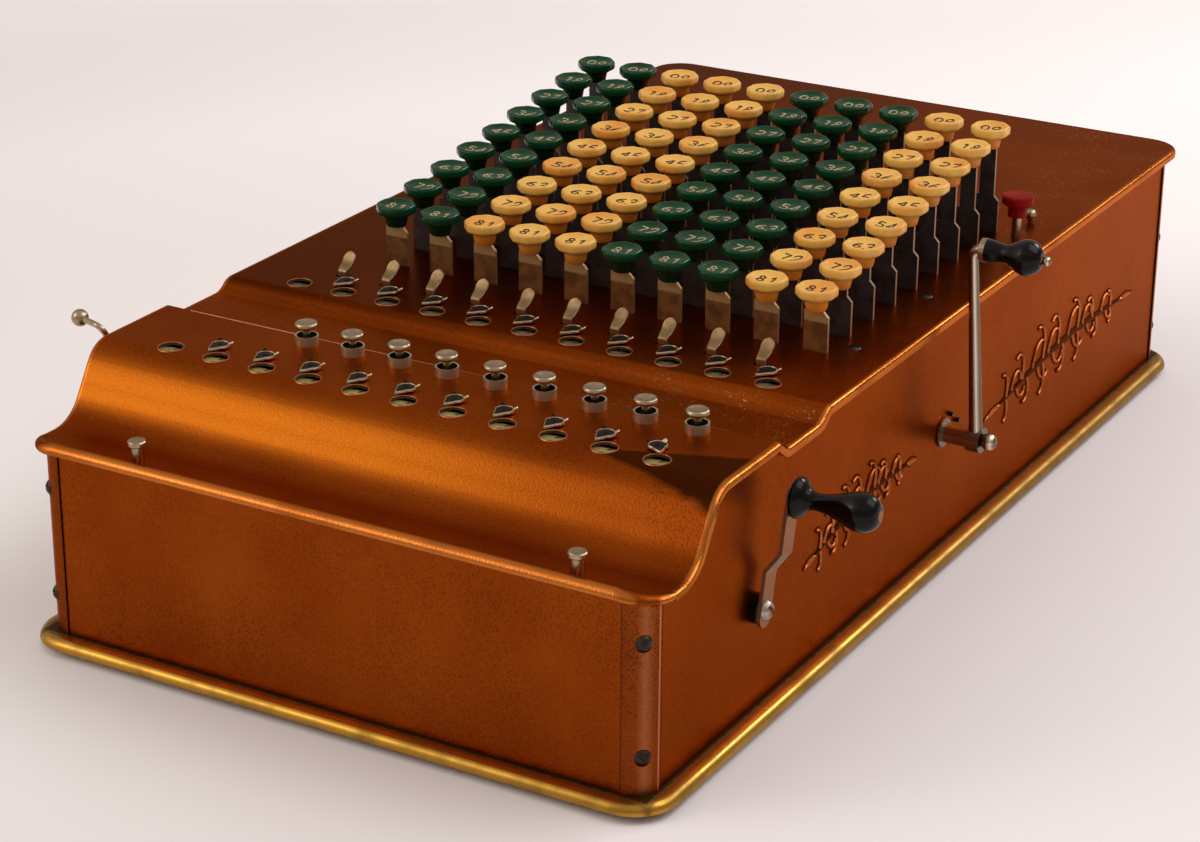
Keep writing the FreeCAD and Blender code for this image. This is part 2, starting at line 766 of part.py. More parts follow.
# Keyboard cover
cover_back = value("case_depth + cover_overhang")
keyboard_solid = band(keyboard_path, cover_back, value("keyboard_sheet"), -COVER_HALF, COVER_HALF)
for low, high in ((-COVER_HALF, -SIDE_OUT), (SIDE_OUT, COVER_HALF)):
    edge_band = band(keyboard_path, cover_back, border, low, high)
    under_cover = box_at(vector(low - 1, back("0"), 0),
                         vector(high + 1, back("ridge_position"), ABOVE))
    keyboard_solid = keyboard_solid.fuse(edge_band.cut(under_cover))
rear_border = box_at(vector(-COVER_HALF, value("case_depth/2"), value("plate_height") - border),
                     vector(COVER_HALF, back("case_depth + cover_overhang"),
                            value("plate_height - keyboard_sheet/2")))
keyboard_solid = keyboard_solid.fuse(rear_border)
for side in (-1, 1):
    # beside the side panels the register cover's border takes this place
    low, high = sorted((side * SIDE_OUT, side * (COVER_HALF + 1)))
    keyboard_solid = keyboard_solid.cut(box_at(vector(low, back("0"), 0),
                                               vector(high, back("ridge_position"), ABOVE)))
keyboard_solid = keyboard_solid.removeSplitter()
rear_corners = [edge for edge in keyboard_solid.Edges
                if abs(edge.tangentAt(edge.FirstParameter).z) > 0.99
                and edge.BoundBox.YMin > back("case_depth + cover_overhang") - 0.01
                and abs(abs(edge.BoundBox.XMin) - COVER_HALF) < 0.01]
keyboard_solid = keyboard_solid.makeFillet(corner_radius, rear_corners)
rear_line = back("case_depth + cover_overhang")
keyboard_edges = [edge for side in (-COVER_HALF, COVER_HALF)
                  for edge in edges_on(keyboard_solid, keyboard_path, cover_back, side)]
for edge in keyboard_solid.Edges:
    middle = edge.valueAt((edge.FirstParameter + edge.LastParameter) / 2)
    on_top = abs(middle.z - value("plate_height")) < 1e-4
    on_corner = edge.Curve.TypeId == "Part::GeomCircle" and middle.y > rear_line - corner_radius
    if on_top and (abs(middle.y - rear_line) < 1e-4 or on_corner):
        keyboard_edges.append(edge)
keyboard_solid = keyboard_solid.makeFillet(edge_round, keyboard_edges)
for hollow in post_hollows(value("plate_height - keyboard_sheet"), 1):
    keyboard_solid = keyboard_solid.cut(hollow)

guide_low = value("guide_height")
guide_high = guide_low + value("guide_thickness")
slot = value("slot_clearance")
half_thick = value("stem_thickness") / 2


def key_slot(x, y, low, high):
    return box_at(vector(x - value("stem_left") - slot, y - half_thick - slot, low),
                  vector(x + value("stem_right") + slot, y + half_thick + slot, high))


def row_y(row):
    return back("key_first_row") + value("key_row_pitch") * row


slots = [key_slot(x, row_y(row), guide_high, ABOVE) for row in KEY_ROWS for x in KEY_COLUMNS]
paddle_y = back("paddle_position")
paddle_columns = [x - value("column_pitch") / 2 for x in KEY_COLUMNS]
paddle_half = value("paddle_width") / 2
swing = value("paddle_slot_swing")
paddle_slots = [box_at(vector(x - paddle_half - slot, paddle_y - slot, guide_high),
                       vector(x + paddle_half + slot, paddle_y + value("paddle_thickness") + swing,
                              ABOVE)) for x in paddle_columns]
red_spot = vector(SIDE_OUT - value("red_key_inset"), back("red_key_position"), 0)
stud_spot = vector(SIDE_OUT - value("stud_inset"), back("stud_position"),
                   value("plate_height"))
plate_holes = [upright_hole(x, back("upper_window_position"), value("window_radius"))
               for x in WINDOWS]
plate_holes += [upright_hole(spot.x, spot.y, value("pointer_pivot_radius") + GAP)
                for spot, angle in upper_pointers]
plate_holes += [upright_hole(red_spot.x, red_spot.y, value("red_stem_radius") + GAP)]
plate_holes += [upright_hole(stud_spot.x, stud_spot.y, value("stud_stem_radius") + GAP)]
plate_holes += [upright_hole(spot.x, spot.y, value("screw_shank_radius") + GAP)
                for spot in plate_screw_places]
keyboard_cover = computed(
    "keyboard_cover", keyboard_solid.cut(Part.makeCompound(slots + paddle_slots + plate_holes)))

# Frame plates, cross rods and the guide plate
paddle_rod = (paddle_y + value("paddle_rod_back"), value("plate_height - paddle_rod_depth"))
lever_rod = (back("lever_pivot_position"), value("lever_pivot_height"))
spacer_rods = [(back("front_rod_position"), value("low_rod_height")),
               (back("middle_rod_position"), value("low_rod_height")),
               (back("case_depth - back_rod_inset"), value("low_rod_height")),
               (back("case_depth - back_rod_inset"), value("back_rod_height"))]
lower_wheel_height = value("register_height - register_sheet - wheel_window_gap - wheel_radius")
upper_wheel_height = value("plate_height - keyboard_sheet - wheel_window_gap - wheel_radius")
lower_shaft = (back("lower_window_position"), lower_wheel_height)
upper_shaft = (back("upper_window_position"), upper_wheel_height)

REAR_END = "(case_depth - frame_back_inset)"
frame_sides = [(back_text(a), b) for a, b in (
    ("frame_front", BASE_TOP), (REAR_END, BASE_TOP), (REAR_END, "frame_height"),
    ("frame_slope_end", "frame_height"), ("frame_front", "frame_front_height"))]
frame_holes = [("rod_radius", spot) for spot in spacer_rods + [lever_rod]]
frame_holes += [("paddle_rod_radius", paddle_rod)]
frame_holes += [("register_shaft_radius", spot) for spot in (lower_shaft, upper_shaft)]
frame_shape = Part.Face(Part.makePolygon(
    [vector(0, value(a), value(b)) for a, b in frame_sides + frame_sides[:1]])).extrude(
        vector(value("frame_thickness"), 0, 0))
for name, (y, z) in frame_holes:
    frame_shape = frame_shape.cut(cross_hole(y, z, value(name) + GAP, -1, 10))
right_frame = frame_shape.copy()
right_frame.translate(vector(FRAME_IN, 0, 0))
for (y, z), radius in ((front_axis, value("crank_screw_radius")),
                       (rear_axis, value("rear_shaft_radius"))):
    right_frame = right_frame.cut(cross_hole(y, z, radius + GAP, FRAME_IN - 1, FRAME_OUT + 1))
left_frame = frame_shape.copy()
left_frame.translate(vector(-FRAME_OUT, 0, 0))
left_frame = left_frame.cut(
    cross_hole(*left_axis, value("left_shaft_radius") + GAP, -FRAME_OUT - 1, -FRAME_IN + 1))
frame_plates = computed("frame_plates", Part.makeCompound([left_frame, right_frame]))


def rod_across(spot, radius):
    return cross_hole(spot[0], spot[1], radius, -FRAME_OUT, FRAME_OUT)


rods = [rod_across(spot, value("rod_radius")) for spot in spacer_rods + [lever_rod]]
rods.append(rod_across(paddle_rod, value("paddle_rod_radius")))
cross_rods = computed("cross_rods", Part.makeCompound(rods))
register_shafts = computed("register_shafts", Part.makeCompound(
    [rod_across(spot, value("register_shaft_radius")) for spot in (lower_shaft, upper_shaft)]))

guide = box_at(vector(-FRAME_IN, row_y(0) - value("guide_margin"), guide_low),
               vector(FRAME_IN, row_y(KEY_ROWS[-1]) + value("guide_margin"), guide_high))
guide_cuts = [key_slot(x, row_y(row), guide_low - 1, guide_high + 1)
              for row in KEY_ROWS for x in KEY_COLUMNS]
guide_cuts.append(upright_hole(red_spot.x, red_spot.y, value("red_stem_radius") + GAP))
key_guide = computed("key_guide_plate", guide.cut(Part.makeCompound(guide_cuts)))

# Column levers under the keys
lever_top = value("lever_top")
lever_low = lever_top - value("lever_depth")
lever_half = value("lever_thickness") / 2
lever_blank = box_at(vector(-lever_half, back("lever_front"), lever_low),
                     vector(lever_half, lever_rod[0], lever_top))
lever_hub = cross_hole(*lever_rod, value("lever_hub_radius"), -lever_half, lever_half)
lever_bore = cross_hole(*lever_rod, value("rod_radius") + GAP, -5, 5)
lever = lever_blank.fuse(lever_hub).removeSplitter().cut(lever_bore)
levers = []
for x in KEY_COLUMNS:
    copy = lever.copy()
    copy.translate(vector(x, 0, 0))
    levers.append(copy)
column_levers = computed("column_levers", Part.makeCompound(levers))


def stroke(row):
    """Key travel that turns a column lever by the row's digit."""
    angle = math.radians(value("lever_angle_per_digit")) * (row + 1)
    return angle * (lever_rod[0] - row_y(row))


for row in KEY_ROWS:
    print("key row", row + 1, "stroke %.2f mm" % stroke(row))
print("lever swing %.2f degrees" % (value("lever_angle_per_digit") * len(KEY_ROWS)))

# Keys: flat stems with a blade and a tongue, and faceted dished caps
NECK_BASE = "(key_first_top - cap_rim_height - cap_underside_height - cap_neck_height)"
for row in KEY_ROWS:
    stems = new_body("key_stems_row_%d" % (row + 1), solids_apart=True)
    place(stems, x=FIRST_COLUMN + " + column_pitch",
          y=back_text("key_first_row") + " + %d*key_row_pitch" % row)
    neck = "%s + %d*key_row_rise" % (NECK_BASE, row)
    bottom = "lever_top + press_gap + %d*lever_angle_per_digit*pi/180" % (row + 1)
    bottom += "*(lever_pivot_position - key_first_row - %d*key_row_pitch)" % row
    blade = "min(plate_height + blade_above_plate; %s)" % neck
    tip = "(%s + tongue_in_cap)" % neck
    shoulder = "(stem_right - tongue_half_width)"
    sides = [("-stem_left", bottom), ("stem_right", bottom),
             ("stem_right", "%s - %s" % (blade, shoulder)),
             ("tongue_half_width", blade), ("tongue_half_width", tip),
             ("-tongue_half_width", tip), ("-tongue_half_width", blade),
             ("-stem_left", blade)]
    stem_sketch = outline(stems, "stem_outline_%d" % (row + 1), "XZ_Plane", sides)
    stem_pad = pad(stems, stem_sketch, "stem_thickness", middle=True)
    repeat_along_x(stems, [stem_pad], "key_columns", "column_pitch")

cap_round = new_body("key_cap_round")
rim_low = "(cap_neck_height + cap_underside_height)"
cap_top = "(%s + cap_rim_height)" % rim_low
cap_sides = [("0", "0"), ("cap_neck_bottom_radius", "0"),
             ("cap_neck_top_radius", "cap_neck_height"),
             ("cap_radius - 0.9", rim_low), ("cap_radius", rim_low + " + 0.8"),
             ("cap_radius", cap_top + " - 0.8"), ("cap_radius - 0.7", cap_top),
             ("cap_radius - 1.4", cap_top + " - cap_dish_depth*0.15"),
             ("cap_radius*0.65", cap_top + " - cap_dish_depth*0.6"),
             ("cap_radius*0.4", cap_top + " - cap_dish_depth*0.88"),
             ("0", cap_top + " - cap_dish_depth")]
revolve(cap_round, outline(cap_round, "cap_profile", "XZ_Plane", cap_sides), "Z_Axis")
cap_facets = doc.addObject("Part::Prism", "key_cap_facets")
cap_facets.Polygon = 8
cap_facets.setExpression("Circumradius", bind("cap_flat_radius / cos(22.5)"))
cap_facets.setExpression("Height", bind(cap_top + " + 1"))
cap_facets.Placement.Rotation = FreeCAD.Rotation(vector(0, 0, 1), 22.5)
cap_slot = doc.addObject("Part::Box", "key_cap_slot")
cap_slot.setExpression("Length", bind("2*(tongue_half_width + running_clearance)"))
cap_slot.setExpression("Width", bind("stem_thickness + 2*running_clearance"))
cap_slot.setExpression("Height", bind("tongue_in_cap + running_clearance + 1"))
place(cap_slot, "-tongue_half_width - running_clearance",
      "-stem_thickness/2 - running_clearance", "-1")
cap_faceted = doc.addObject("Part::Common", "key_cap_faceted")
cap_faceted.Base = cap_round
cap_faceted.Tool = cap_facets
key_cap = doc.addObject("Part::Cut", "key_cap")
key_cap.Base = cap_faceted
key_cap.Tool = cap_slot
doc.recompute()

for row in KEY_ROWS:
    neck_height = value(NECK_BASE) + value("key_row_rise") * row
    for label, ivory in (("ivory_caps_row_", True), ("green_caps_row_", False)):
        caps = []
        for column, x in enumerate(KEY_COLUMNS):
            if (column in IVORY_COLUMNS) == ivory:
                cap = key_cap.Shape.copy()
                cap.translate(vector(x, row_y(row), neck_height))
                caps.append(cap)
        computed(label + str(row + 1), Part.makeCompound(caps))

# Number wheels
for label, (y, z) in (("lower_number_wheels", lower_shaft), ("upper_number_wheels", upper_shaft)):
    wheels = new_body(label, solids_apart=True)
    position, height = {
        "lower_number_wheels": ("lower_window_position", "register_height - register_sheet"),
        "upper_number_wheels": ("upper_window_position", "plate_height - keyboard_sheet"),
    }[label]
    place(wheels, x=FIRST_COLUMN, y=back_text(position),
          z="%s - wheel_window_gap - wheel_radius" % height)
    bore = "(register_shaft_radius + running_clearance)"
    web = "(wheel_hub_radius + 0.5)"
    sides = [("-wheel_hub_length/2", bore), ("wheel_hub_length/2", bore),
             ("wheel_hub_length/2", "wheel_hub_radius"),
             ("wheel_width/5", "wheel_hub_radius"),
             ("wheel_width/5", "wheel_radius - wheel_rim_depth"),
             ("wheel_width/2", "wheel_radius - wheel_rim_depth"),
             ("wheel_width/2", "wheel_radius"), ("-wheel_width/2", "wheel_radius"),
             ("-wheel_width/2", "wheel_radius - wheel_rim_depth"),
             ("-wheel_width/5", "wheel_radius - wheel_rim_depth"),
             ("-wheel_width/5", "wheel_hub_radius"),
             ("-wheel_hub_length/2", "wheel_hub_radius")]
    profile = outline(wheels, label + "_profile", "XY_Plane", sides)
    repeat_along_x(wheels, [revolve(wheels, profile, "X_Axis")], "window_count", "column_pitch")

# Cut-off buttons in their cups
buttons = new_body("cutoff_buttons", solids_apart=True)
place(buttons, x=FIRST_COLUMN + " + 2*column_pitch", y=back_text("button_position"),
      z="register_height")
knob_low = "(button_top - button_thickness)"
sides = [("0", "button_top - button_stem_length"),
         ("button_neck_radius", "button_top - button_stem_length"),
         ("button_neck_radius", knob_low), ("button_radius - 0.7", knob_low),
         ("button_radius", knob_low + " + 0.8"),
         ("button_radius", "button_top - 1"), ("button_radius - 0.25", "button_top - 0.4"),
         ("button_radius - 0.9", "button_top"),
         ("button_radius/2", "button_top - 0.3"), ("0", "button_top - 0.4")]
turned = revolve(buttons, outline(buttons, "button_profile", "XZ_Plane", sides), "Z_Axis")
repeat_along_x(buttons, [turned], "button_count", "column_pitch")

collars = new_body("button_collars", solids_apart=True)
place(collars, x=FIRST_COLUMN + " + 2*column_pitch", y=back_text("button_position"),
      z="register_height")
inner = "(button_neck_radius + running_clearance)"
sides = [(inner, "0"), ("collar_radius", "0"), ("collar_radius", "collar_height"),
         ("collar_radius - collar_wall", "collar_height"),
         ("collar_radius - collar_wall", "collar_floor"), (inner, "collar_floor")]
turned = revolve(collars, outline(collars, "collar_profile", "XZ_Plane", sides), "Z_Axis")
repeat_along_x(collars, [turned], "button_count", "column_pitch")

# Bent paddles that swing on their rod
def strip_face(points, thickness):
    """Face of a bent strip of even thickness along points in the side view."""
    normals = []
    for first, second in zip(points, points[1:]):
        along = (second - first).normalize()
        normals.append(vector(0, -along.z, along.y))
    upper = []
    lower = []
    for index, point in enumerate(points):
        before = normals[max(index - 1, 0)]
        after = normals[min(index, len(normals) - 1)]
        mitre = (before + after).normalize()
        reach = thickness / 2 / mitre.dot(after)
        upper.append(point + mitre * reach)
        lower.append(point - mitre * reach)
    ring = upper + lower[::-1]
    return Part.Face(Part.makePolygon(ring + ring[:1]))


bend = math.radians(value("paddle_bend"))
tip_bend = math.radians(value("paddle_tip_angle"))
riser_top = value("plate_height + paddle_riser")
riser = vector(0, paddle_y + value("paddle_thickness") / 2, riser_top)
run_end = riser + vector(0, math.cos(bend), math.sin(bend)) * value("paddle_run")
tip_end = run_end + vector(0, math.cos(tip_bend), math.sin(tip_bend)) * value("paddle_tip_run")
rod_point = vector(0, paddle_rod[0], paddle_rod[1])
elbow = vector(0, riser.y, paddle_rod[1] + value("paddle_hub_radius") * 0.6)
thick = value("paddle_thickness")
paddle = strip_face([rod_point, elbow, riser, run_end, tip_end], thick)
paddle = paddle.extrude(vector(2 * paddle_half, 0, 0))
paddle.translate(vector(-paddle_half, 0, 0))
tip_edges = [edge for edge in paddle.Edges
             if (edge.CenterOfMass - tip_end).Length < math.hypot(paddle_half, 0.3) + 0.05
             and abs(edge.CenterOfMass.x) > paddle_half - 0.01
             and abs(edge.Length - thick) < 0.05
             and abs(edge.CenterOfMass.z - tip_end.z) < 0.1]
paddle = paddle.makeFillet(paddle_half * 0.8, tip_edges)
paddle = paddle.fuse(cross_hole(*paddle_rod, value("paddle_hub_radius"),
                                -paddle_half, paddle_half))
paddle = paddle.cut(cross_hole(*paddle_rod, value("paddle_rod_radius") + GAP, -10, 10))
paddles = []
for x in paddle_columns:
    copy = paddle.copy()
    copy.translate(vector(x, 0, 0))
    paddles.append(copy)
cutoff_paddles = computed("cutoff_paddles", Part.makeCompound(paddles))

# Heart-shaped decimal pointers on their rivets
def pointer_plate(disc, length, thickness):
    """Disc with a tip towards -Y, its pivot at the origin."""
    half = math.acos(disc / length)
    shoulder = vector(math.sin(half), -math.cos(half), 0) * disc
    tip = Part.Face(Part.makePolygon([vector(0, 0, 0), vector(-shoulder.x, shoulder.y, 0),
                                      vector(0, -length, 0), shoulder, vector(0, 0, 0)]))
    return Part.makeCylinder(disc, thickness).fuse(tip.extrude(vector(0, 0, thickness)))


def pointer_tab(disc, thickness, side):
    """Finger tab that rises from the disc's back edge at one side."""
    half_width = value("pointer_tab_width") / 2
    rise = math.radians(value("pointer_tab_rise"))
    start = disc - thickness / 2
    reach = value("pointer_tab_length")
    line = [vector(0, start, thickness / 2),
            vector(0, start + reach * math.cos(rise), thickness / 2 + reach * math.sin(rise))]
    tab = strip_face([vector(0, start - thickness, thickness / 2)] + line,
                     thickness * 0.98).extrude(vector(2 * half_width, 0, 0))
    tab.translate(vector(-half_width, 0, 0))
    tab.rotate(vector(0, 0, 0), vector(0, 0, 1), side * value("pointer_tab_angle"))
    return tab


disc = value("pointer_disc")
pointer = pointer_plate(disc, value("pointer_length"), value("pointer_thickness"))
pointer = pointer.fuse([pointer_tab(disc, value("pointer_thickness"), side)
                        for side in (-1, 1)])
pointer.translate(vector(0, 0, value("pointer_lift")))
rivet_depth = value("keyboard_sheet")
pointer = pointer.fuse([
    Part.makeCylinder(value("pointer_pivot_radius"), rivet_depth + value("pointer_lift"),
                      vector(0, 0, -rivet_depth)),
    Part.makeCylinder(value("pointer_pivot_radius") * 1.5, value("pointer_lift"))])
pointers = []
for places, height in ((lower_pointers, value("register_height")),
                       (upper_pointers, value("plate_height"))):
    for pivot, angle in places:
        copy = pointer.copy()
        copy.rotate(vector(0, 0, 0), vector(0, 0, 1), angle)
        copy.translate(vector(pivot.x, pivot.y, height))
        pointers.append(copy)
decimal_pointers = computed("decimal_pointers", Part.makeCompound(pointers))

# Front crank: hub, joggled strap, slotted screw and grip
def leaned(shape, axis, degrees):
    """Turn a shape built upright on a cross axis back by its lean."""
    turned_shape = shape.copy()
    turned_shape.rotate(vector(0, axis[0], axis[1]), vector(1, 0, 0), -degrees)
    return turned_shape


hub_out = SIDE_OUT + value("front_hub_length")
front_hub = cross_hole(*front_axis, value("front_hub_radius"), SIDE_OUT, hub_out)
front_hub = front_hub.cut(cross_hole(*front_axis, value("crank_screw_radius") + GAP, 0,
                                     hub_out + 1))
front_crank_hub = computed("front_crank_hub", front_hub)

strap_thick = value("strap_thickness")
strap_line = [vector(hub_out + strap_thick / 2, 0, -value("strap_end")),
              vector(hub_out + strap_thick / 2, 0, value("strap_joggle_start")),
              vector(hub_out + strap_thick / 2 + value("strap_offset"), 0,
                     value("strap_joggle_end")),
              vector(hub_out + strap_thick / 2 + value("strap_offset"), 0,
                     value("front_crank_length") + value("strap_width") / 2)]
half_strap = value("strap_width") / 2
joggle = math.atan2(value("strap_offset"), value("strap_joggle_end - strap_joggle_start"))
inset = strap_thick * math.tan(joggle / 2)
inner_side = [vector(hub_out, -half_strap, strap_line[0].z),
              vector(hub_out, -half_strap, strap_line[1].z),
              vector(hub_out + value("strap_offset"), -half_strap, strap_line[2].z),
              vector(hub_out + value("strap_offset"), -half_strap, strap_line[3].z)]
outer_side = [point + vector(strap_thick, 0, 0) for point in inner_side]
outer_side[1].z -= inset
outer_side[2].z -= inset
strap = Part.Face(Part.makePolygon(inner_side + outer_side[::-1] + inner_side[:1]))
strap = strap.extrude(vector(0, 2 * half_strap, 0))
ends = [edge for edge in strap.Edges
        if abs(edge.Length - strap_thick) < 0.01
        and (abs(edge.CenterOfMass.z - strap_line[0].z) < 0.01
             or abs(edge.CenterOfMass.z - strap_line[3].z) < 0.01)]
strap = strap.makeFillet(half_strap * 0.96, ends)
strap = strap.cut(Part.makeCylinder(value("crank_screw_radius") + GAP, 20,
                                    vector(hub_out - 5, 0, 0), vector(1, 0, 0)))
strap_face = hub_out + value("strap_offset") + strap_thick
grip_height = value("front_crank_length")
front_pin_end = strap_face + value("front_grip_length") + 0.4
strap = strap.fuse(Part.makeCylinder(
    value("grip_pin_radius"), front_pin_end - strap_face + 0.5,
    vector(strap_face - 0.5, 0, grip_height), vector(1, 0, 0)))
strap.translate(vector(0, front_axis[0], front_axis[1]))
front_lean = value("front_crank_lean")
front_crank_arm = computed("front_crank_arm", leaned(strap, front_axis, front_lean))

screw_head = round_screw(value("crank_screw_head_radius"), value("crank_screw_head_height"),
                         value("crank_screw_radius"), hub_out + strap_thick - FRAME_IN,
                         1.3, 1.1)
screw_head.rotate(vector(0, 0, 0), vector(0, 0, 1), 35)
screw_head.rotate(vector(0, 0, 0), vector(0, 1, 0), 90)
screw_head.translate(vector(hub_out + strap_thick, front_axis[0], front_axis[1]))
front_crank_screw = computed("front_crank_screw", screw_head)


def spline_grip(label, bore, knots, x, y, z):
    """Grip whose side is one smooth curve through knots, bored for its pin."""
    curve = Part.BSplineCurve()
    curve.interpolate([vector(a, b, 0) for a, b in knots])
    start = vector(knots[0][0], bore, 0)
    end = vector(knots[-1][0], bore, 0)
    edges = [curve.toShape(), Part.makeLine(curve.value(curve.LastParameter), end),
             Part.makeLine(end, start), Part.makeLine(start, curve.value(curve.FirstParameter))]
    solid = Part.Face(Part.Wire(edges)).revolve(vector(0, 0, 0), vector(1, 0, 0), 360)
    solid.translate(vector(x, y, z))
    return computed(label, solid)


lean = math.radians(front_lean)
front_grip_y = front_axis[0] + grip_height * math.sin(lean)
front_grip_z = front_axis[1] + grip_height * math.cos(lean)
length = value("front_grip_length")
flange = value("front_grip_flange_radius")
neck_radius = value("front_grip_neck_radius")
bulb = value("front_grip_bulb_radius")
pin_bore = value("grip_pin_radius") + GAP
front_crank_grip = spline_grip(
    "front_crank_grip", pin_bore,
    [(0, flange * 0.8), (1.4, flange), (3.2, flange * 0.86), (5.6, neck_radius * 1.15),
     (9.5, neck_radius), (length * 0.6, bulb * 0.8), (length * 0.8, bulb),
     (length * 0.93, bulb * 0.82), (length - 0.2, bulb * 0.45), (length, pin_bore + 0.15)],
    strap_face + 0.1, front_grip_y, front_grip_z)

# Rear crank: shaft with washer and ball nut, bent round arm, waisted grip
shaft_end = SIDE_OUT + value("rear_shaft_out")
washer_low = SIDE_OUT + 0.3
shaft = cross_hole(*rear_axis, value("rear_shaft_radius"), FRAME_IN - 3, shaft_end)
shaft = shaft.fuse(cross_hole(*rear_axis, value("rear_washer_radius"), washer_low,
                              washer_low + value("rear_washer_thickness")))
eye_width = 2 * value("rear_arm_low_radius")
stub_end = shaft_end + eye_width + 1.6
shaft = shaft.fuse(cross_hole(*rear_axis, value("rear_pin_radius"), shaft_end - 1, stub_end))
nut_radius = value("rear_nut_radius")
nut_face = shaft_end + eye_width
nut_centre = nut_face + nut_radius * 0.75
nut = Part.makeSphere(nut_radius, vector(nut_centre, *rear_axis))
nut = nut.cut(box_at(vector(nut_face - 10, rear_axis[0] - 9, rear_axis[1] - 9),
                     vector(nut_face, rear_axis[0] + 9, rear_axis[1] + 9)))
nut = nut.cut(cross_hole(*rear_axis, value("rear_pin_radius") + GAP, shaft_end, stub_end + 0.1))
rear_crank_shaft = computed("rear_crank_shaft", Part.makeCompound([shaft, nut]))

arm_radius = value("rear_arm_top_radius")
arm_x = shaft_end + eye_width / 2
arm_length = value("rear_crank_length")
elbow_radius = value("rear_elbow_radius")
ferrule_start = arm_x + elbow_radius
ferrule_end = ferrule_start + value("rear_ferrule_length")
taper_top = arm_length - elbow_radius - 1
taper = Part.makeCone(value("rear_arm_low_radius"), arm_radius, taper_top, vector(arm_x, 0, 0))
arm = bent_rod([vector(arm_x, 0, taper_top), vector(arm_x, 0, arm_length),
                vector(ferrule_end, 0, arm_length)], elbow_radius, arm_radius)
along_x = vector(1, 0, 0)
eye = Part.makeCylinder(value("rear_eye_radius"), eye_width, vector(shaft_end, 0, 0), along_x)
ferrule = Part.makeCylinder(value("rear_ferrule_radius"), value("rear_ferrule_length"),
                            vector(ferrule_start, 0, arm_length), along_x)
grip_end = ferrule_end + value("rear_grip_length")
rear_pin = Part.makeCylinder(value("rear_pin_radius"), grip_end - ferrule_end + 1.0,
                             vector(ferrule_end - 0.5, 0, arm_length), along_x)
tip = Part.makeSphere(value("rear_tip_radius"),
                      vector(grip_end + value("rear_tip_radius") * 0.9, 0, arm_length))
arm = arm.fuse([taper, eye, ferrule, rear_pin, tip])
arm = arm.cut(Part.makeCylinder(value("rear_pin_radius") + GAP, 20,
                                vector(shaft_end - 2, 0, 0), along_x))
arm.translate(vector(0, rear_axis[0], rear_axis[1]))
rear_lean = value("rear_crank_lean")
rear_crank_arm = computed("rear_crank_arm", leaned(arm, rear_axis, rear_lean))

lean = math.radians(rear_lean)
rear_grip_y = rear_axis[0] + arm_length * math.sin(lean)
rear_grip_z = rear_axis[1] + arm_length * math.cos(lean)
length = value("rear_grip_length") - 0.2
waist = value("rear_grip_waist_radius")
bulb = value("rear_grip_bulb_radius")
rear_bore = value("rear_pin_radius") + GAP
rear_crank_grip = spline_grip(
    "rear_crank_grip", rear_bore,
    [(0, value("rear_ferrule_radius") * 0.97), (length * 0.12, waist * 1.16),
     (length * 0.32, waist), (length * 0.55, bulb * 0.83), (length * 0.75, bulb),
     (length * 0.93, bulb * 0.72), (length, bulb * 0.42)],
    ferrule_end + 0.1, rear_grip_y, rear_grip_z)

stops = [cross_hole(y, z, value("stop_pin_radius"), FRAME_OUT + 0.2,
                    SIDE_OUT + value("stop_pin_out")) for y, z in stop_pins]
crank_stop_pins = computed("crank_stop_pins", Part.makeCompound(stops))

# Left lever: hub, curved rod and ball
hub_start = -SIDE_OUT - 0.1
hub_face = hub_start - value("left_hub_length")
left_hub = cross_hole(*left_axis, value("left_hub_radius"), hub_face, hub_start)
left_shaft = cross_hole(*left_axis, value("left_shaft_radius"), hub_face, -FRAME_IN)
ball_centre = vector(-SIDE_OUT - value("left_ball_out"),
                     left_axis[0] - value("left_ball_forward"),
                     left_axis[1] + value("left_ball_rise"))
rod_start = vector(hub_face + 0.5, left_axis[0], left_axis[1])
left_rise = vector(0, -value("left_rod_forward"), value("left_rod_rise"))
left_elbow = vector(-SIDE_OUT - value("left_rod_out"), left_axis[0], left_axis[1])
left_rod = bent_rod([rod_start, left_elbow, left_elbow + left_rise, ball_centre],
                    value("left_rod_bend"), value("left_rod_radius"))
left_ball = Part.makeSphere(value("left_ball_radius"), ball_centre,
                            ball_centre - left_elbow - left_rise)
left_lever = computed("left_lever", left_ball.fuse(left_rod).fuse(left_hub.fuse(left_shaft)))

# Red key with its round stem
red_stem = new_body("red_key_stem")
place(red_stem, "case_width/2 - red_key_inset", back_text("red_key_position"), "plate_height - red_stem_below")
sketch = outline(red_stem, "red_stem_outline", "XY_Plane", circles=[("0", "0", "red_stem_radius")])
pad(red_stem, sketch, "red_stem_below + red_stem_above + red_bore_depth - running_clearance")

red_cap = new_body("red_key_cap")
place(red_cap, "case_width/2 - red_key_inset", back_text("red_key_position"), "plate_height + red_stem_above")
bore = "(red_stem_radius + running_clearance)"
neck_top = "red_neck_height"
red_top = "(red_neck_height + red_cap_height)"
sides = [(bore, "0"), ("red_neck_radius", "0"), ("red_neck_radius", "red_neck_height*0.6"),
         ("red_neck_radius*0.9", neck_top), ("red_cap_radius*0.86", neck_top),
         ("red_cap_radius", neck_top + " + red_cap_height*0.2"),
         ("red_cap_radius", neck_top + " + red_cap_height*0.7"),
         ("red_cap_radius*0.94", neck_top + " + red_cap_height*0.88"),
         ("red_cap_radius*0.8", red_top + " - 0.15"), ("0", red_top),
         ("0", "red_bore_depth"), (bore, "red_bore_depth")]
revolve(red_cap, outline(red_cap, "red_cap_profile", "XZ_Plane", sides), "Z_Axis")

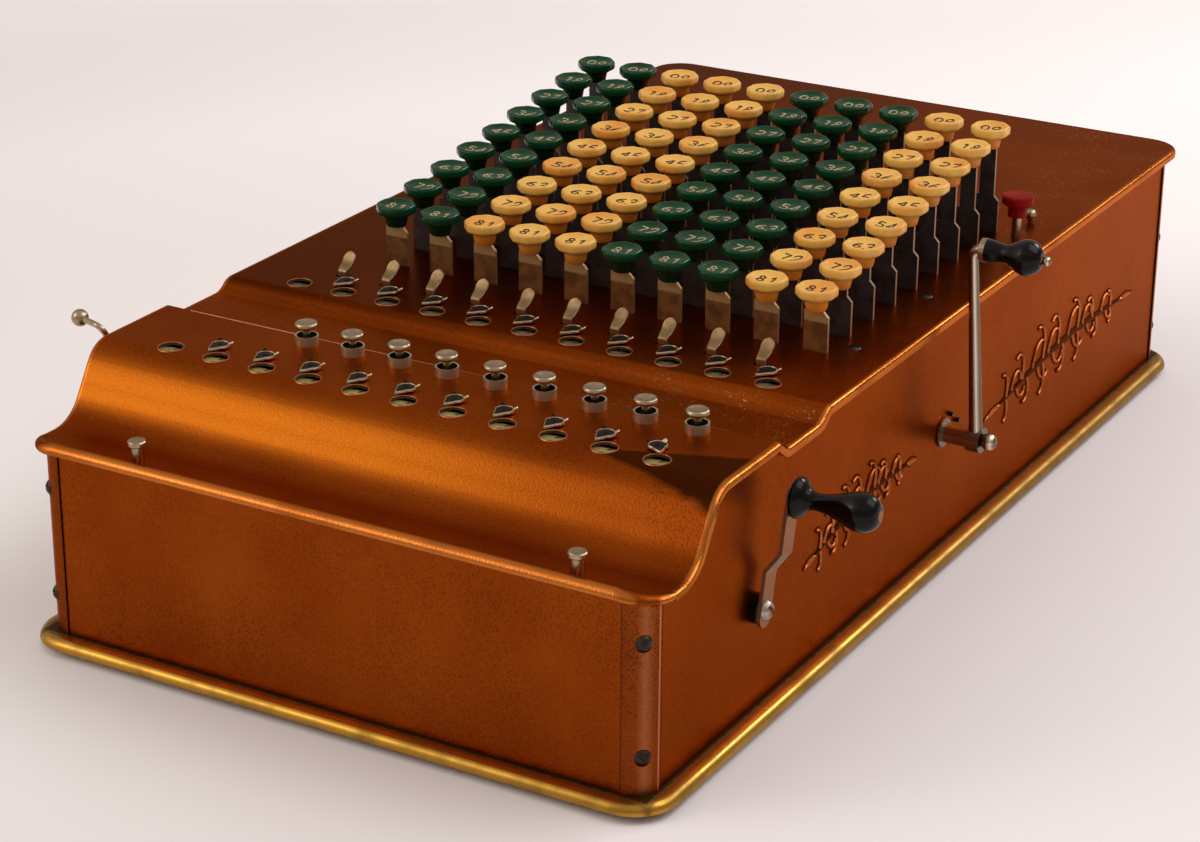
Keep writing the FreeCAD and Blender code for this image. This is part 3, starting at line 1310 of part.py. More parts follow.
# Thumb pins on the lip and the round-headed stud
pins = []
for spot in pin_places:
    pin = Part.makeCylinder(value("pin_radius"), value("pin_height"), spot)
    head = Part.makeCylinder(value("pin_head_radius"), value("pin_head_height"),
                             spot + vector(0, 0, value("pin_height")))
    head = head.makeChamfer(value("pin_head_height") * 0.2, head.Edges)
    spigot = Part.makeCylinder(value("pin_spigot_radius"), value("register_sheet"),
                               spot - vector(0, 0, value("register_sheet")))
    pins.append(pin.fuse([head, spigot]))
stud = Part.makeSphere(value("stud_ball_radius"), stud_spot + vector(0, 0, value("stud_rise")))
stud_reach = value("keyboard_sheet")
stud = stud.fuse(Part.makeCylinder(value("stud_stem_radius"), value("stud_rise") + stud_reach,
                                   stud_spot - vector(0, 0, stud_reach)))
pins.append(stud)
cover_pins = computed("cover_pins", Part.makeCompound(pins))

# Check every object and write each piece
doc.recompute()
PARTS = ["base_plate", "rubber_feet", "front_panel", "left_side_panel", "right_side_panel",
         "rear_panel", "corner_posts", "case_screws", "register_cover", "keyboard_cover",
         "frame_plates", "cross_rods", "key_guide_plate", "column_levers", "register_shafts",
         "lower_number_wheels", "upper_number_wheels", "front_crank_hub", "front_crank_arm",
         "front_crank_grip", "front_crank_screw", "rear_crank_arm", "rear_crank_grip",
         "rear_crank_shaft", "crank_stop_pins", "left_lever", "red_key_cap", "red_key_stem",
         "cover_pins", "cutoff_buttons", "button_collars", "cutoff_paddles", "decimal_pointers"]
for row in KEY_ROWS:
    for label in ("key_stems_row_", "ivory_caps_row_", "green_caps_row_"):
        PARTS.append(label + str(row + 1))

for item in doc.Objects:
    if "Invalid" in item.State or "Error" in item.State:
        raise RuntimeError(item.Label + " did not compute: " + str(item.State))
for label in PARTS:
    item = doc.getObjectsByLabel(label)[0]
    shape = item.Shape
    if shape.isNull() or not shape.isValid() or not shape.Solids:
        raise RuntimeError(label + " has no valid solid")
    shape.exportStep("parts/%s.step" % label)
print(len(PARTS), "parts written")
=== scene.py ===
# %% [markdown]
# # Dressing a key-driven calculator
# A CAD model of an old copper-lacquered adding machine gives every solid its place and size.
# This lesson loads it, keeps its good solids, replaces the ones that need a finer form, and
# gives each surface a finish made of nodes. Blender's lengths are metres; the shapes are worked
# out in millimetres and scaled at the end. +Z is up, and the front panel faces -Y.

# %% Load the frame
import bmesh
import bpy
import math
import numpy as np
from mathutils import Matrix, Vector


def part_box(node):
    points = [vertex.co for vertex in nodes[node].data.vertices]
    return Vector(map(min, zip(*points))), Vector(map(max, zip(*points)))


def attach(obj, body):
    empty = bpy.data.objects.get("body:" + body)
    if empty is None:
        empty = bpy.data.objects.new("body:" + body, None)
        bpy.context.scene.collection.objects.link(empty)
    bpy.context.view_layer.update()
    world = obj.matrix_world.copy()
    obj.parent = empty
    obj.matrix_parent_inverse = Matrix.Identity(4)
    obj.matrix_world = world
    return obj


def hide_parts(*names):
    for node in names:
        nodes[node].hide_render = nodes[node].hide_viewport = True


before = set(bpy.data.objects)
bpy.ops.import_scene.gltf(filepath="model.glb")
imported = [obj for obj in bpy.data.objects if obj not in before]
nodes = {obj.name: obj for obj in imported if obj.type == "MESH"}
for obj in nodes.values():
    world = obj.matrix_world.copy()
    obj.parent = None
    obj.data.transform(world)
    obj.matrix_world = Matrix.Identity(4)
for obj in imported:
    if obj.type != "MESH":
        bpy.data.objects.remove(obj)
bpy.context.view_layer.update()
MM = 0.001


def in_mm(box):
    """The low and high corner of a box, in millimetres."""
    return [np.array(corner) / MM for corner in box]


row_low, row_high = in_mm(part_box("ivory_caps_row_1"))
next_high = in_mm(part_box("ivory_caps_row_2"))[1]
FIRST_ROW_Y = (row_low[1] + row_high[1]) / 2
FIRST_ROW_TOP, CAP_HEIGHT = row_high[2], row_high[2] - row_low[2]
ROW_PITCH, ROW_RISE = (next_high - row_high)[1:]
COLUMN_PITCH, KEY_ROWS = 19.05, 9
print("loaded", len(nodes), "nodes, key rows %.2f mm apart, each %.2f mm higher"
      % (ROW_PITCH, ROW_RISE))

# %% [markdown]
# The camera stands where the photographer stood: about 1.2 m away, to the right of the
# front panel and above it. Its place and turn were fitted to points measured in the
# photograph, so its three axes are written out here as the columns of a matrix.

# %% Camera
camera_place = Vector((0.51989, -0.95431, 0.48173))
right = Vector((0.86634, 0.49942, 0.00639))
down = Vector((0.19706, -0.33002, -0.92318))
forward = Vector((-0.45894, 0.80104, -0.38432))
turn = Matrix((right, -down, -forward)).transposed()
lens = bpy.data.cameras.new("camera")
lens.lens, lens.sensor_width = 92.06, 36.0
camera = bpy.data.objects.new("camera", lens)
camera.matrix_world = Matrix.Translation(camera_place) @ turn.to_4x4()
bpy.context.scene.collection.objects.link(camera)
bpy.context.scene.camera = camera
print("camera at", tuple(round(v, 3) for v in camera_place))

# %% [markdown]
# Shader maths reads best as arithmetic. A small class wraps one socket of a node, and each
# sum, product or power of wrapped sockets adds the Math node that it needs.

# %% Sockets as numbers
class Signal:
    """A shader socket used like a number: each operator adds one Math node."""

    def __init__(self, socket):
        self.socket = socket

    def math(self, operation, *terms, clamp=False):
        """A Math node of the same tree with these terms."""
        node = self.socket.id_data.nodes.new("ShaderNodeMath")
        node.operation, node.use_clamp = operation, clamp
        for slot, term in zip(node.inputs, terms):
            feed(slot, term)
        return Signal(node.outputs[0])

    def __add__(self, other):
        return self.math("ADD", self, other)

    def __sub__(self, other):
        return self.math("SUBTRACT", self, other)

    def __rsub__(self, other):
        return self.math("SUBTRACT", other, self)

    def __mul__(self, other):
        return self.math("MULTIPLY", self, other)

    def __truediv__(self, other):
        return self.math("DIVIDE", self, other)

    def __pow__(self, other):
        return self.math("POWER", self, other)

    def __abs__(self):
        return self.math("ABSOLUTE", self)

    __radd__, __rmul__ = __add__, __mul__

    def most(self, other):
        """The larger of the two."""
        return self.math("MAXIMUM", self, other)

    def least(self, other):
        """The smaller of the two."""
        return self.math("MINIMUM", self, other)

    def clamp(self):
        """Held between 0 and 1."""
        return self.math("ADD", self, 0.0, clamp=True)

    def step(self, start, end):
        """0 before start, 1 after end, a straight ramp between (start may be the larger)."""
        return self.math("MULTIPLY", self - start, 1.0 / (end - start), clamp=True)


def feed(socket, term):
    """Give a socket a link, a number or a tuple."""
    if isinstance(term, Signal):
        socket.id_data.links.new(term.socket, socket)
    else:
        socket.default_value = term


print("sockets now add, multiply and step like numbers")

# %% [markdown]
# A finish is what a surface is made of and what time did to it. In Blender both end in one
# Principled shader, so a second class holds that shader and a method that adds any other node
# by its type. Patterns read the object coordinates, so they move with the piece.

# %% A finish in the making
class Finish:
    """A material in the making: its Principled shader, and a method for any other node."""

    def __init__(self, name, **constants):
        self.material = bpy.data.materials.new(name)
        self.material.use_nodes = True
        self.tree = self.material.node_tree
        self.shader = self.tree.nodes["Principled BSDF"]
        for socket, number in constants.items():
            self.shader.inputs[socket.replace("_", " ")].default_value = number
        self.where = self.node("TexCoord", out="Object")

    def node(self, kind, settings=None, out=0, **links):
        """Adds a node: its settings first, then the numbers or links of its sockets."""
        node = self.tree.nodes.new("ShaderNode" + kind)
        for name, setting in (settings or {}).items():
            setattr(node, name, setting)
        for name, term in links.items():
            wanted = name.replace("_", " ")
            feed(next(s for s in node.inputs if s.enabled and s.name == wanted), term)
        return Signal(node.outputs[out])

    def axes(self):
        """The object coordinates x, y and z, in millimetres."""
        split = self.node("SeparateXYZ", Vector=self.where)
        return [Signal(s) * 1000.0 for s in split.socket.node.outputs]

    def facing(self):
        """The surface's direction, as three numbers from -1 to 1."""
        split = self.node("SeparateXYZ", Vector=self.node("NewGeometry", out="Normal"))
        return [Signal(s) for s in split.socket.node.outputs]

    def noise(self, size, detail=2.0, stretch=(1, 1, 1), turned=(0, 0, 0), offset=(0, 0, 0)):
        """Noise whose features are about size millimetres across, from 0 to 1."""
        grain = tuple(1000.0 / (size * s) for s in stretch)
        spot = self.node("Mapping", Vector=self.where, Scale=(1, 1, 1), Rotation=turned)
        spot = self.node("Mapping", Vector=spot, Scale=grain, Location=offset)
        return self.node("TexNoise", Vector=spot, Scale=1.0, Detail=detail)

    def blend(self, share, first, second):
        """The first colour where share is 0, the second where it is 1."""
        return self.node("Mix", {"data_type": "RGBA"}, out=2, Factor=share, A=first, B=second)

    def bump(self, height, distance, normal=None):
        """Bump whose height 1 stands distance millimetres proud."""
        links = {"Height": height, "Distance": distance * MM}
        if normal:
            links["Normal"] = normal
        return self.node("Bump", **links)

    def wear(self, **links):
        """Feeds what varies over the surface into the shader and gives the material."""
        for name, term in links.items():
            feed(self.shader.inputs[name.replace("_", " ")], term)
        return self.material


def shade(*rgb):
    """A colour written as on a screen (0 to 255), as the shader's linear numbers."""
    value = np.array(rgb) / 255.0
    linear = np.where(value > 0.04045, ((value + 0.055) / 1.055) ** 2.4, value / 12.92)
    return (*linear.tolist(), 1.0)


print("grey 128 is", round(shade(128, 128, 128)[0], 3))

# %% [markdown]
# The floor is a wide pale cloth that runs past the picture on every side, so it is also the
# backdrop; faint painted shade of folds lies in its colour. Polished copper shows little but
# what it mirrors, so the room decides its looks: a soft window glow and a small lamp at the left
# front draw the gold band along the slope, helped by a painted golden highlight tint in the
# lacquer; a lamp behind the right edge draws the line on the rolled border, helped by a painted
# highlight there; and the large one overhead stands to the right, where no flat sheet mirrors it.
# The room is a little brighter overhead than at the horizon, so the bends of the covers are
# lighter than their flats.

# %% Floor and lamps
floor_mesh = bpy.data.meshes.new("floor")
floor_mesh.from_pydata([(-6, -6, 0), (6, -6, 0), (6, 9, 0), (-6, 9, 0)], [], [(0, 1, 2, 3)])
floor = bpy.data.objects.new("floor", floor_mesh)
bpy.context.scene.collection.objects.link(floor)
cloth = Finish("pale_cloth", Roughness=0.9, Specular_IOR_Level=0.1)
# Painted shade: broad stretched patches dim the cloth's colour, as folds would.
painted_fold_shade = cloth.noise(420, detail=1.5, stretch=(1, 2.5, 1), turned=(0, 0, 0.6))
floor_mesh.materials.append(cloth.wear(
    Base_Color=cloth.blend(painted_fold_shade.step(0.3, 0.7), shade(240, 234, 238), shade(252, 250, 255))))


def lamp(name, place, aim, size, power, colour=(1, 1, 1)):
    """A square area lamp of size metres at place, facing aim."""
    light = bpy.data.lights.new(name, "AREA")
    light.size, light.energy, light.color = size, power, colour
    holder = bpy.data.objects.new(name, light)
    holder.location = place
    holder.rotation_euler = (Vector(aim) - Vector(place)).to_track_quat("-Z", "Y").to_euler()
    bpy.context.scene.collection.objects.link(holder)


middle = (0.0, -0.05, 0.09)
lamp("slope_lamp", (-0.98, -1.12, 0.96), middle, size=0.4, power=1.2, colour=(1.0, 0.98, 0.88))
lamp("top_lamp", (1.05, 0.45, 1.55), middle, size=1.3, power=11.0)
lamp("edge_lamp", (0.62, 1.42, 0.98), middle, size=0.45, power=6.0)

# %% Room
ROOM_LIGHT, OVERHEAD_LIGHT, WINDOW_LIGHT = 0.40, 0.24, 1.9
WINDOW_NARROWNESS = 14.0
room = bpy.data.worlds.new("room")
bpy.context.scene.world = room
room.use_nodes = True
tree = room.node_tree
split = tree.nodes.new("ShaderNodeSeparateXYZ")
feed(split.inputs[0], Signal(tree.nodes.new("ShaderNodeTexCoord").outputs["Generated"]))
east, north, up = [Signal(s) for s in split.outputs]
window = (east * -0.715 + north * -0.50 + up * 0.486).clamp()
feed(tree.nodes["Background"].inputs["Strength"],
     ROOM_LIGHT + OVERHEAD_LIGHT * up.step(0.40, 0.66)
     + WINDOW_LIGHT * window ** WINDOW_NARROWNESS)
tree.nodes["Background"].inputs["Color"].default_value = (1.0, 0.9, 0.8, 1.0)
bpy.context.scene.view_settings.view_transform = "Standard"
print("3 lamps and a room")

# %% [markdown]
# Copper lacquer: thin sheet with a baked, tinted varnish. It is made as a metal whose own
# colour is the tint, because a tinted metal keeps its reflections orange, as the real one
# does, where a painted colour under a clear coat would reflect white. A fine fleck gives the
# grain, large clouds the uneven bake, and long thin scratches the years of use.

# %% Copper lacquer
def scratch_lines(finish, length, width, turned, share, offset=(0, 0, 0)):
    """Long thin lines: noise stretched along one direction, and only its peaks kept."""
    line = finish.noise(width, detail=1.0, stretch=(length / width, 1, 1),
                        turned=turned, offset=offset)
    gate = finish.noise(35, detail=0.0, offset=(offset[0] + 7, 3, 1)).step(0.5, 0.62)
    return line.step(share, share + 0.05) * gate


def as_it_is(finish, x, y, z, colour):
    """No change of colour, no height and no polish."""
    return colour, None, 0.0


def copper_lacquer(name, base, deep, roughness, grain=1.0, local=as_it_is):
    """The lacquer; local may change the colour by place, and gives a height in millimetres
    and how much smoother the surface is there."""
    finish = Finish(name, Metallic=1.0, Specular_Tint=(0.95, 0.6, 0.5, 1.0))
    x, y, z = finish.axes()
    clouds = finish.noise(55, detail=4.0)
    fleck = finish.noise(0.8, detail=3.0)
    coarse = finish.noise(2.6, detail=3.0, offset=(4, 1, 9))
    worn = finish.noise(38, detail=2.0, offset=(3, 6, 2)).step(0.4, 0.65)
    colour = finish.blend(clouds.step(0.35, 0.68), deep, base)
    colour = finish.blend(coarse.step(0.50, 0.72) * 0.25 * grain, colour, deep)
    colour = finish.blend(fleck.step(0.47, 0.68) * (0.25 + 0.35 * worn) * grain, colour,
                          shade(86, 34, 8))
    colour, form, polish = local(finish, x, y, z, colour)
    specks = finish.noise(1.6, detail=3.0, offset=(2, 8, 5)).step(0.63, 0.68)
    dirt = specks * z.step(34.0, 8.0) * finish.noise(30, detail=2.0).step(0.45, 0.7)
    colour = finish.blend(dirt * 0.6, colour, shade(60, 26, 8))
    scratches = (scratch_lines(finish, 60, 0.45, (0, 0, 0.35), 0.73)
                 + scratch_lines(finish, 40, 0.35, (0, 0, 1.2), 0.76, (5, 5, 5))).clamp()
    colour = finish.blend(scratches * 0.4, colour, shade(205, 120, 50))
    rough = roughness + 0.06 * clouds + 0.08 * grain * fleck + 0.3 * dirt - polish
    height = finish.bump(form, 1.0) if form else None
    height = finish.bump(fleck, 0.085 * grain, normal=height)
    height = finish.bump(scratches, -0.01, normal=height)
    return finish.wear(Base_Color=colour, Roughness=rough, Normal=height)


cover_low, cover_high = in_mm(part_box("register_cover"))
DARK_PATCH_TIP_X, DARK_PATCH_TIP_Y = 68.0, -180.0
SLOPE_MIDDLE_Z = 87.0
NO_FRONT_BORDER = -400.0


def worn_and_highlit_edge(finish, x, y, front):
    """1 on the rolled borders, where the lacquer is worn and a painted highlight lies: there the
    larger of |x| - half width and front - y is near 0."""
    inward = (abs(x) - float(cover_high[0])).most(front - y)
    patchy = finish.noise(24, detail=3.0, offset=(8, 1, 4)).step(0.25, 0.5)
    return inward.step(-2.2, -1.3) * (0.4 + 0.6 * patchy)


def register_wear_and_painted_light(finish, x, y, z, colour):
    """A painted golden highlight tint along the slope, worn lacquer with a painted highlight on
    the rolled borders, and darker in a wedge that opens from its tip towards the right shoulder.
    The height -0.017 h |h|, with h the way above the slope's middle, leans the normal as if the
    S were a little fuller."""
    ragged = finish.noise(9, detail=3.0, offset=(6, 6, 6)) * 3.0 - 1.5
    behind = y - DARK_PATCH_TIP_Y + (x - DARK_PATCH_TIP_X) * 0.21
    ahead = (x - DARK_PATCH_TIP_X) * 0.37 + DARK_PATCH_TIP_Y - y
    # Darker in a wedge that opens from its tip towards the right shoulder.
    dark_patch = (behind.least(ahead) + ragged).step(0.0, 2.0)
    # Painted highlight: a golden tint on the slope, fading towards the right.
    golden_highlight = z.step(78.0, 84.0) * z.step(99.0, 92.0) * x.step(110.0, 0.0)
    edge = worn_and_highlit_edge(finish, x, y, float(cover_low[1]))
    above = z - SLOPE_MIDDLE_Z
    colour = finish.blend(golden_highlight * 0.8, colour, shade(172, 94, 20))
    colour = finish.blend(dark_patch * 0.88, colour, shade(40, 16, 5))
    # Worn lacquer and a painted highlight on the rolled borders.
    return (finish.blend(edge * 0.8, colour, shade(200, 118, 52)),
            above * abs(above) * -0.017, 0.14 * edge)


def plate_wear_and_painted_light(finish, x, y, z, colour):
    """Painted shade to the left, with dust beside the keys and rolled borders of worn lacquer
    with a painted highlight.
    """
    crumbs = (finish.noise(1.2, detail=2.0, offset=(1, 7, 3)).step(0.62, 0.68)
              * finish.noise(14, detail=2.0).step(0.45, 0.6) * x.step(30.0, 80.0))
    # Painted shade: the plate's left part is darker, as if it mirrored a darker room.
    left = x.step(80.0, -90.0) * y.step(-116.0, -108.0)
    edge = worn_and_highlit_edge(finish, x, y, NO_FRONT_BORDER)
    colour = finish.blend(left * 0.9, colour, shade(66, 18, 1))
    colour = finish.blend(crumbs * 0.7, colour, shade(196, 160, 120))
    # Worn lacquer and a painted highlight on the rolled borders.
    return finish.blend(edge * 0.7, colour, shade(206, 122, 56)), None, 0.1 * edge


def side_painted_shade(finish, x, y, z, colour):
    """Painted shade: darker towards the foot."""
    return finish.blend(z.step(70.0, 6.0) * 0.4, colour, shade(112, 46, 12)), None, 0.0


def post_painted_light(finish, x, y, z, colour):
    """Painted shadow in the joints along both edges, a painted highlight line beside the side
    panel, and a paler painted sheen in the middle.
    """
    east, north = [abs(n) for n in finish.facing()[:2]]
    # Painted sheen in the middle of the post.
    middle = (1.0 - abs(east - 0.74) * 4.5).clamp()
    # Painted highlight line beside the side panel.
    line = (1.0 - abs(north - 0.16) * 22.0).clamp()
    # Painted shadow in the joints along both edges.
    shadowed_joints = east.least(north).step(0.11, 0.05)
    colour = finish.blend(middle * 0.45, colour, shade(172, 112, 72))
    colour = finish.blend(line * 0.8, colour, shade(226, 150, 116))
    return finish.blend(shadowed_joints * 0.9, colour, shade(30, 10, 4)), None, 0.0


print("rolled borders at", round(float(cover_high[0]), 1), "mm")

# %% The lacquered pieces
warm, baked = shade(150, 70, 16), shade(132, 55, 10)
lacquer = copper_lacquer("copper_lacquer", warm, baked, 0.24)
register_lacquer = copper_lacquer("register_lacquer", warm, baked, 0.3, 1.0, register_wear_and_painted_light)
plate_lacquer = copper_lacquer("plate_lacquer", warm, baked, 0.24, 1.0, plate_wear_and_painted_light)
side_lacquer = copper_lacquer("side_lacquer", warm, baked, 0.24, 1.0, side_painted_shade)
post_lacquer = copper_lacquer("post_lacquer", shade(148, 70, 24), shade(116, 50, 16), 0.3, 1.6,
                              post_painted_light)
# Scrollwork: pale ridges are a painted highlight on rubbed lacquer; relief_shade is painted
# shadow.
relief = copper_lacquer("relief_lacquer", shade(206, 122, 70), shade(160, 84, 40), 0.25)
relief_shade = copper_lacquer("relief_shade", shade(60, 22, 6), shade(44, 15, 5), 0.35)
print(lacquer.name, post_lacquer.name, relief.name)

# %% [markdown]
# The other metals start alike: a metal with its own colour, clouds of tarnish, a fine brushed
# grain and small pits. Nickel plate covers the small controls, the screws are oxidised dark,
# and the hidden works are plain mill steel.

# %% Plain metals
def worn_metal(name, colour, dark, roughness, cloud, fine):
    """Plated or bare metal: clouds of tarnish, a fine brushed grain and small pits."""
    finish = Finish(name, Metallic=1.0)
    tarnish = finish.noise(cloud, detail=4.0).step(0.42, 0.72)
    grain = finish.noise(fine, detail=3.0, offset=(3, 3, 3))
    pits = finish.noise(1.1, detail=2.0, offset=(9, 2, 4)).step(0.68, 0.76)
    mixed = finish.blend((tarnish * 0.6 + pits * 0.2).clamp(), colour, dark)
    rough = roughness + 0.12 * tarnish + 0.1 * grain + 0.1 * pits
    return finish, mixed, rough, finish.bump(grain, 0.006)


def plain_metal(name, *looks):
    """Worn metal with no place that differs from the rest."""
    finish, colour, rough, height = worn_metal(name, *looks)
    return finish.wear(Base_Color=colour, Roughness=rough, Normal=height)


nickel = plain_metal("nickel_plate", shade(172, 154, 128), shade(128, 104, 74), 0.18, 3.0, 0.5)
bright_nickel = plain_metal("bright_nickel", shade(226, 206, 180), shade(170, 136, 100),
                            0.16, 6.0, 0.5)
cut_edge = plain_metal("cut_edge", shade(196, 122, 80), shade(140, 76, 40), 0.25, 3.0, 0.5)
dark_steel = plain_metal("dark_steel", shade(66, 56, 48), shade(26, 20, 16), 0.3, 3.0, 0.5)
mill_steel = plain_metal("mill_steel", shade(150, 146, 140), shade(92, 80, 66), 0.35, 14.0, 0.7)
print(nickel.name, bright_nickel.name, cut_edge.name, dark_steel.name, mill_steel.name)

# %% [markdown]
# Some metals differ from place to place, and some of this is light and shade painted into the
# colour: the cups get painted shade inside, the paddles a painted highlight on their narrow
# sides, the bent arm painted highlights and shade across it, the front crank's strap a painted
# copper reflection on its outer face, and the pale bead at the cover's rear edge a painted
# highlight that fades to the right. This comes from the surface's own direction and place, so it
# is the same in any view.

# %% Cups, arms and edges
finish, colour, rough, height = worn_metal("cup_nickel", shade(196, 192, 166),
                                           shade(150, 132, 102), 0.34, 4.0, 0.5)
x, y, z = finish.axes()
facing = finish.facing()
cups_low, cups_high = in_mm(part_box("button_collars"))
place = x / COLUMN_PITCH + 0.5
beside = (place.math("FRACT", place) - 0.5) * COLUMN_PITCH
# Painted shade inside the cups, on their walls and floor.
shaded_inside = (beside * facing[0]
         + (y - (cups_low[1] + cups_high[1]) / 2) * facing[1]).step(0.0, -0.3)
shaded_cup_floor = facing[2].step(0.4, 0.6) * z.step(cups_high[2] - 0.1, cups_high[2] - 0.4)
colour = finish.blend((shaded_inside + shaded_cup_floor).clamp() * 0.9, colour, shade(36, 24, 14))
cup_nickel = finish.wear(Base_Color=colour, Roughness=rough, Normal=height)

finish, colour, rough, height = worn_metal("arm_steel", shade(176, 160, 138),
                                           shade(140, 116, 88), 0.16, 40.0, 0.5)
across = finish.facing()[0]
# Painted light by facing: a dark brown painted reflection on the side facing left, a bright
# painted highlight line, and painted shade at the right edge.
colour = finish.blend(across.step(0.15, -0.35) * 0.9, colour, shade(104, 78, 50))
colour = finish.blend((1.0 - abs(across - 0.5) * 5.0).clamp() * 0.9, colour,
                      shade(236, 228, 214))
colour = finish.blend(across.step(0.72, 0.9) * 0.8, colour, shade(96, 82, 66))
arm_steel = finish.wear(Base_Color=colour, Roughness=rough)

# Painted highlight: a pale bead colour that fades to the right along the cover's rear edge.
finish, colour, rough, height = worn_metal("edge_highlight", shade(214, 160, 132),
                                           shade(176, 112, 76), 0.25, 3.0, 0.5)
fading = finish.axes()[0].step(-80.0, 20.0)
colour = finish.blend(fading * 0.92, colour, shade(110, 46, 14))
edge_highlight = finish.wear(Base_Color=colour, Roughness=rough, Normal=height)

finish, colour, rough, height = worn_metal("dull_nickel", shade(142, 118, 86),
                                           shade(98, 76, 48), 0.28, 4.0, 0.5)
# Painted highlight on the narrow sides that face sideways.
highlit_sides = abs(finish.facing()[0]).step(0.5, 0.8)
colour = finish.blend(highlit_sides * 0.9, colour, shade(226, 214, 196))
dull_nickel = finish.wear(Base_Color=colour, Roughness=rough, Normal=height)

finish, colour, rough, height = worn_metal("crank_steel", shade(170, 158, 146),
                                           shade(104, 76, 50), 0.24, 6.0, 0.5)
# Painted reflection: the steel strap's outer face is given a copper colour.
copper_reflection = finish.facing()[0].step(0.8, 0.95)
colour = finish.blend(copper_reflection * 0.95, colour, shade(148, 88, 36))
strap_steel = finish.wear(Base_Color=colour, Roughness=rough, Normal=height)
print(cup_nickel.name, arm_steel.name, edge_highlight.name, dull_nickel.name, strap_steel.name)

# %% [markdown]
# The moulding round the base is polished brass: its crown is bright, grime fills the corner
# against the panels, and what lies between them is dull, as is its rear end. The distance
# outside the panels, max(|x| - half width, |y| - half depth), tells these apart. The key stems
# are blued sheet steel with bare sheared edges; in the front row they have browned.

# %% Brass moulding
finish, colour, rough, height = worn_metal("brass_moulding", shade(186, 140, 58),
                                           shade(128, 96, 42), 0.22, 9.0, 0.6)
x, y, z = finish.axes()
half_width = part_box("right_side_panel")[1][0] / MM
half_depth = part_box("rear_panel")[1][1] / MM
outward = (abs(x) - half_width).most(abs(y) - half_depth)
ragged = finish.noise(3.0, detail=4.0) - 0.5
grime = (outward + 1.6 * ragged).step(1.5, 0.9)
dull = (outward + 1.2 * ragged).step(3.4, 2.4)
dull = dull.most(y.step(-170.0, 60.0) * 0.6)
colour = finish.blend(dull * 0.75, colour, shade(116, 84, 40))
colour = finish.blend(grime * 0.85, colour, shade(44, 34, 18))
brass = finish.wear(Base_Color=colour, Roughness=rough + 0.2 * dull + 0.15 * grime,
                    Normal=height)
print(brass.name, "within", round(half_width, 1), "by", round(half_depth, 1), "mm")

# %% Key stems
finish = Finish("blued_steel", Metallic=0.5, IOR=1.6)
x, y, z = finish.axes()
slope = (y - FIRST_ROW_Y) * (ROW_RISE / ROW_PITCH)
below_cap = FIRST_ROW_TOP - CAP_HEIGHT + slope - z
patches = finish.noise(5.0, detail=4.0)
smooth = finish.noise(0.6, detail=3.0, offset=(3, 3, 3))
blued = finish.blend(patches.step(0.4, 0.65), shade(66, 56, 56), shade(44, 36, 34))
browned = finish.blend(patches.step(0.4, 0.6), shade(132, 88, 42), shade(98, 60, 26))
browned = finish.blend(below_cap.step(4.4, 4.0), browned, shade(172, 138, 88))
front_row = y.step(FIRST_ROW_Y + 2.0, FIRST_ROW_Y + 0.5)
sheared_edge = abs(finish.facing()[0]).step(0.6, 0.9)
colour = finish.blend(front_row, blued, browned)
colour = finish.blend(sheared_edge * 0.8, colour, shade(176, 142, 108))
stem_steel = finish.wear(Base_Color=colour, Roughness=0.4 + 0.2 * smooth,
                         Normal=finish.bump(smooth, 0.01))
print(stem_steel.name)

# %% [markdown]
# Key caps: old celluloid. The ivory ones have cream tops and turn darker and more orange on the
# neck, each a little differently; the green and red ones are darker on the neck as well. The
# green ones are deep and glossy. The tops of one row lie 2.3 mm above the row in front, so a
# height measured from that slanting plane tells the neck from the top for all of them at once.

# %% Celluloid
def celluloid(name, top, neck, dark_patch, roughness, ior):
    """A cap's finish: top colour above, neck colour below, and stains that differ by key."""
    finish = Finish(name, IOR=ior)
    x, y, z = finish.axes()
    depth = FIRST_ROW_TOP + (y - FIRST_ROW_Y) * (ROW_RISE / ROW_PITCH) - z
    each = finish.noise(15, detail=0.0, offset=(3, 1, 0))
    mottle = finish.noise(2.2, detail=4.0)
    low = (depth.step(2.2, 6.5) + 0.5 * (each - 0.5) * depth.step(0.5, 3.0)).clamp()
    colour = finish.blend(low, top, neck)
    aged = each.step(0.48, 0.7) * 0.6 + mottle.step(0.5, 0.8) * 0.3
    colour = finish.blend(aged.clamp(), colour, dark_patch)
    return finish.wear(Base_Color=colour, Roughness=roughness + 0.15 * mottle,
                       Normal=finish.bump(mottle, 0.02))


ivory = celluloid("ivory_celluloid", shade(232, 182, 90), shade(206, 120, 38),
                  shade(222, 136, 44), 0.22, 1.36)
green = celluloid("green_celluloid", shade(5, 60, 30), shade(4, 34, 20),
                  shade(4, 48, 26), 0.12, 1.3)
red = celluloid("red_celluloid", shade(196, 16, 5), shade(120, 10, 4),
                shade(168, 12, 5), 0.3, 1.15)
print(ivory.name, green.name, red.name)

# %% [markdown]
# The rest is coated or inked: black lacquer on the wooden grips, drab paint on the wheels with
# darker digits, a darker copy of that paint as painted shade on the upper wheels, black ink in
# the ivory caps and ink faded to cream in the green ones.

# %% Grip, rubber, paint and ink
def plain_coat(name, base, other, roughness, size, lift=0.01, **constants):
    """A painted or moulded surface: two close tones in clouds of size millimetres, and a
    faint orange peel that is lift millimetres high."""
    finish = Finish(name, **constants)
    cloud = finish.noise(size, detail=4.0)
    fine = finish.noise(0.7, detail=2.0, offset=(5, 5, 1))
    colour = finish.blend(cloud.step(0.4, 0.7), base, other)
    return finish.wear(Base_Color=colour, Roughness=roughness + 0.12 * fine,
                       Normal=finish.bump(fine, lift))


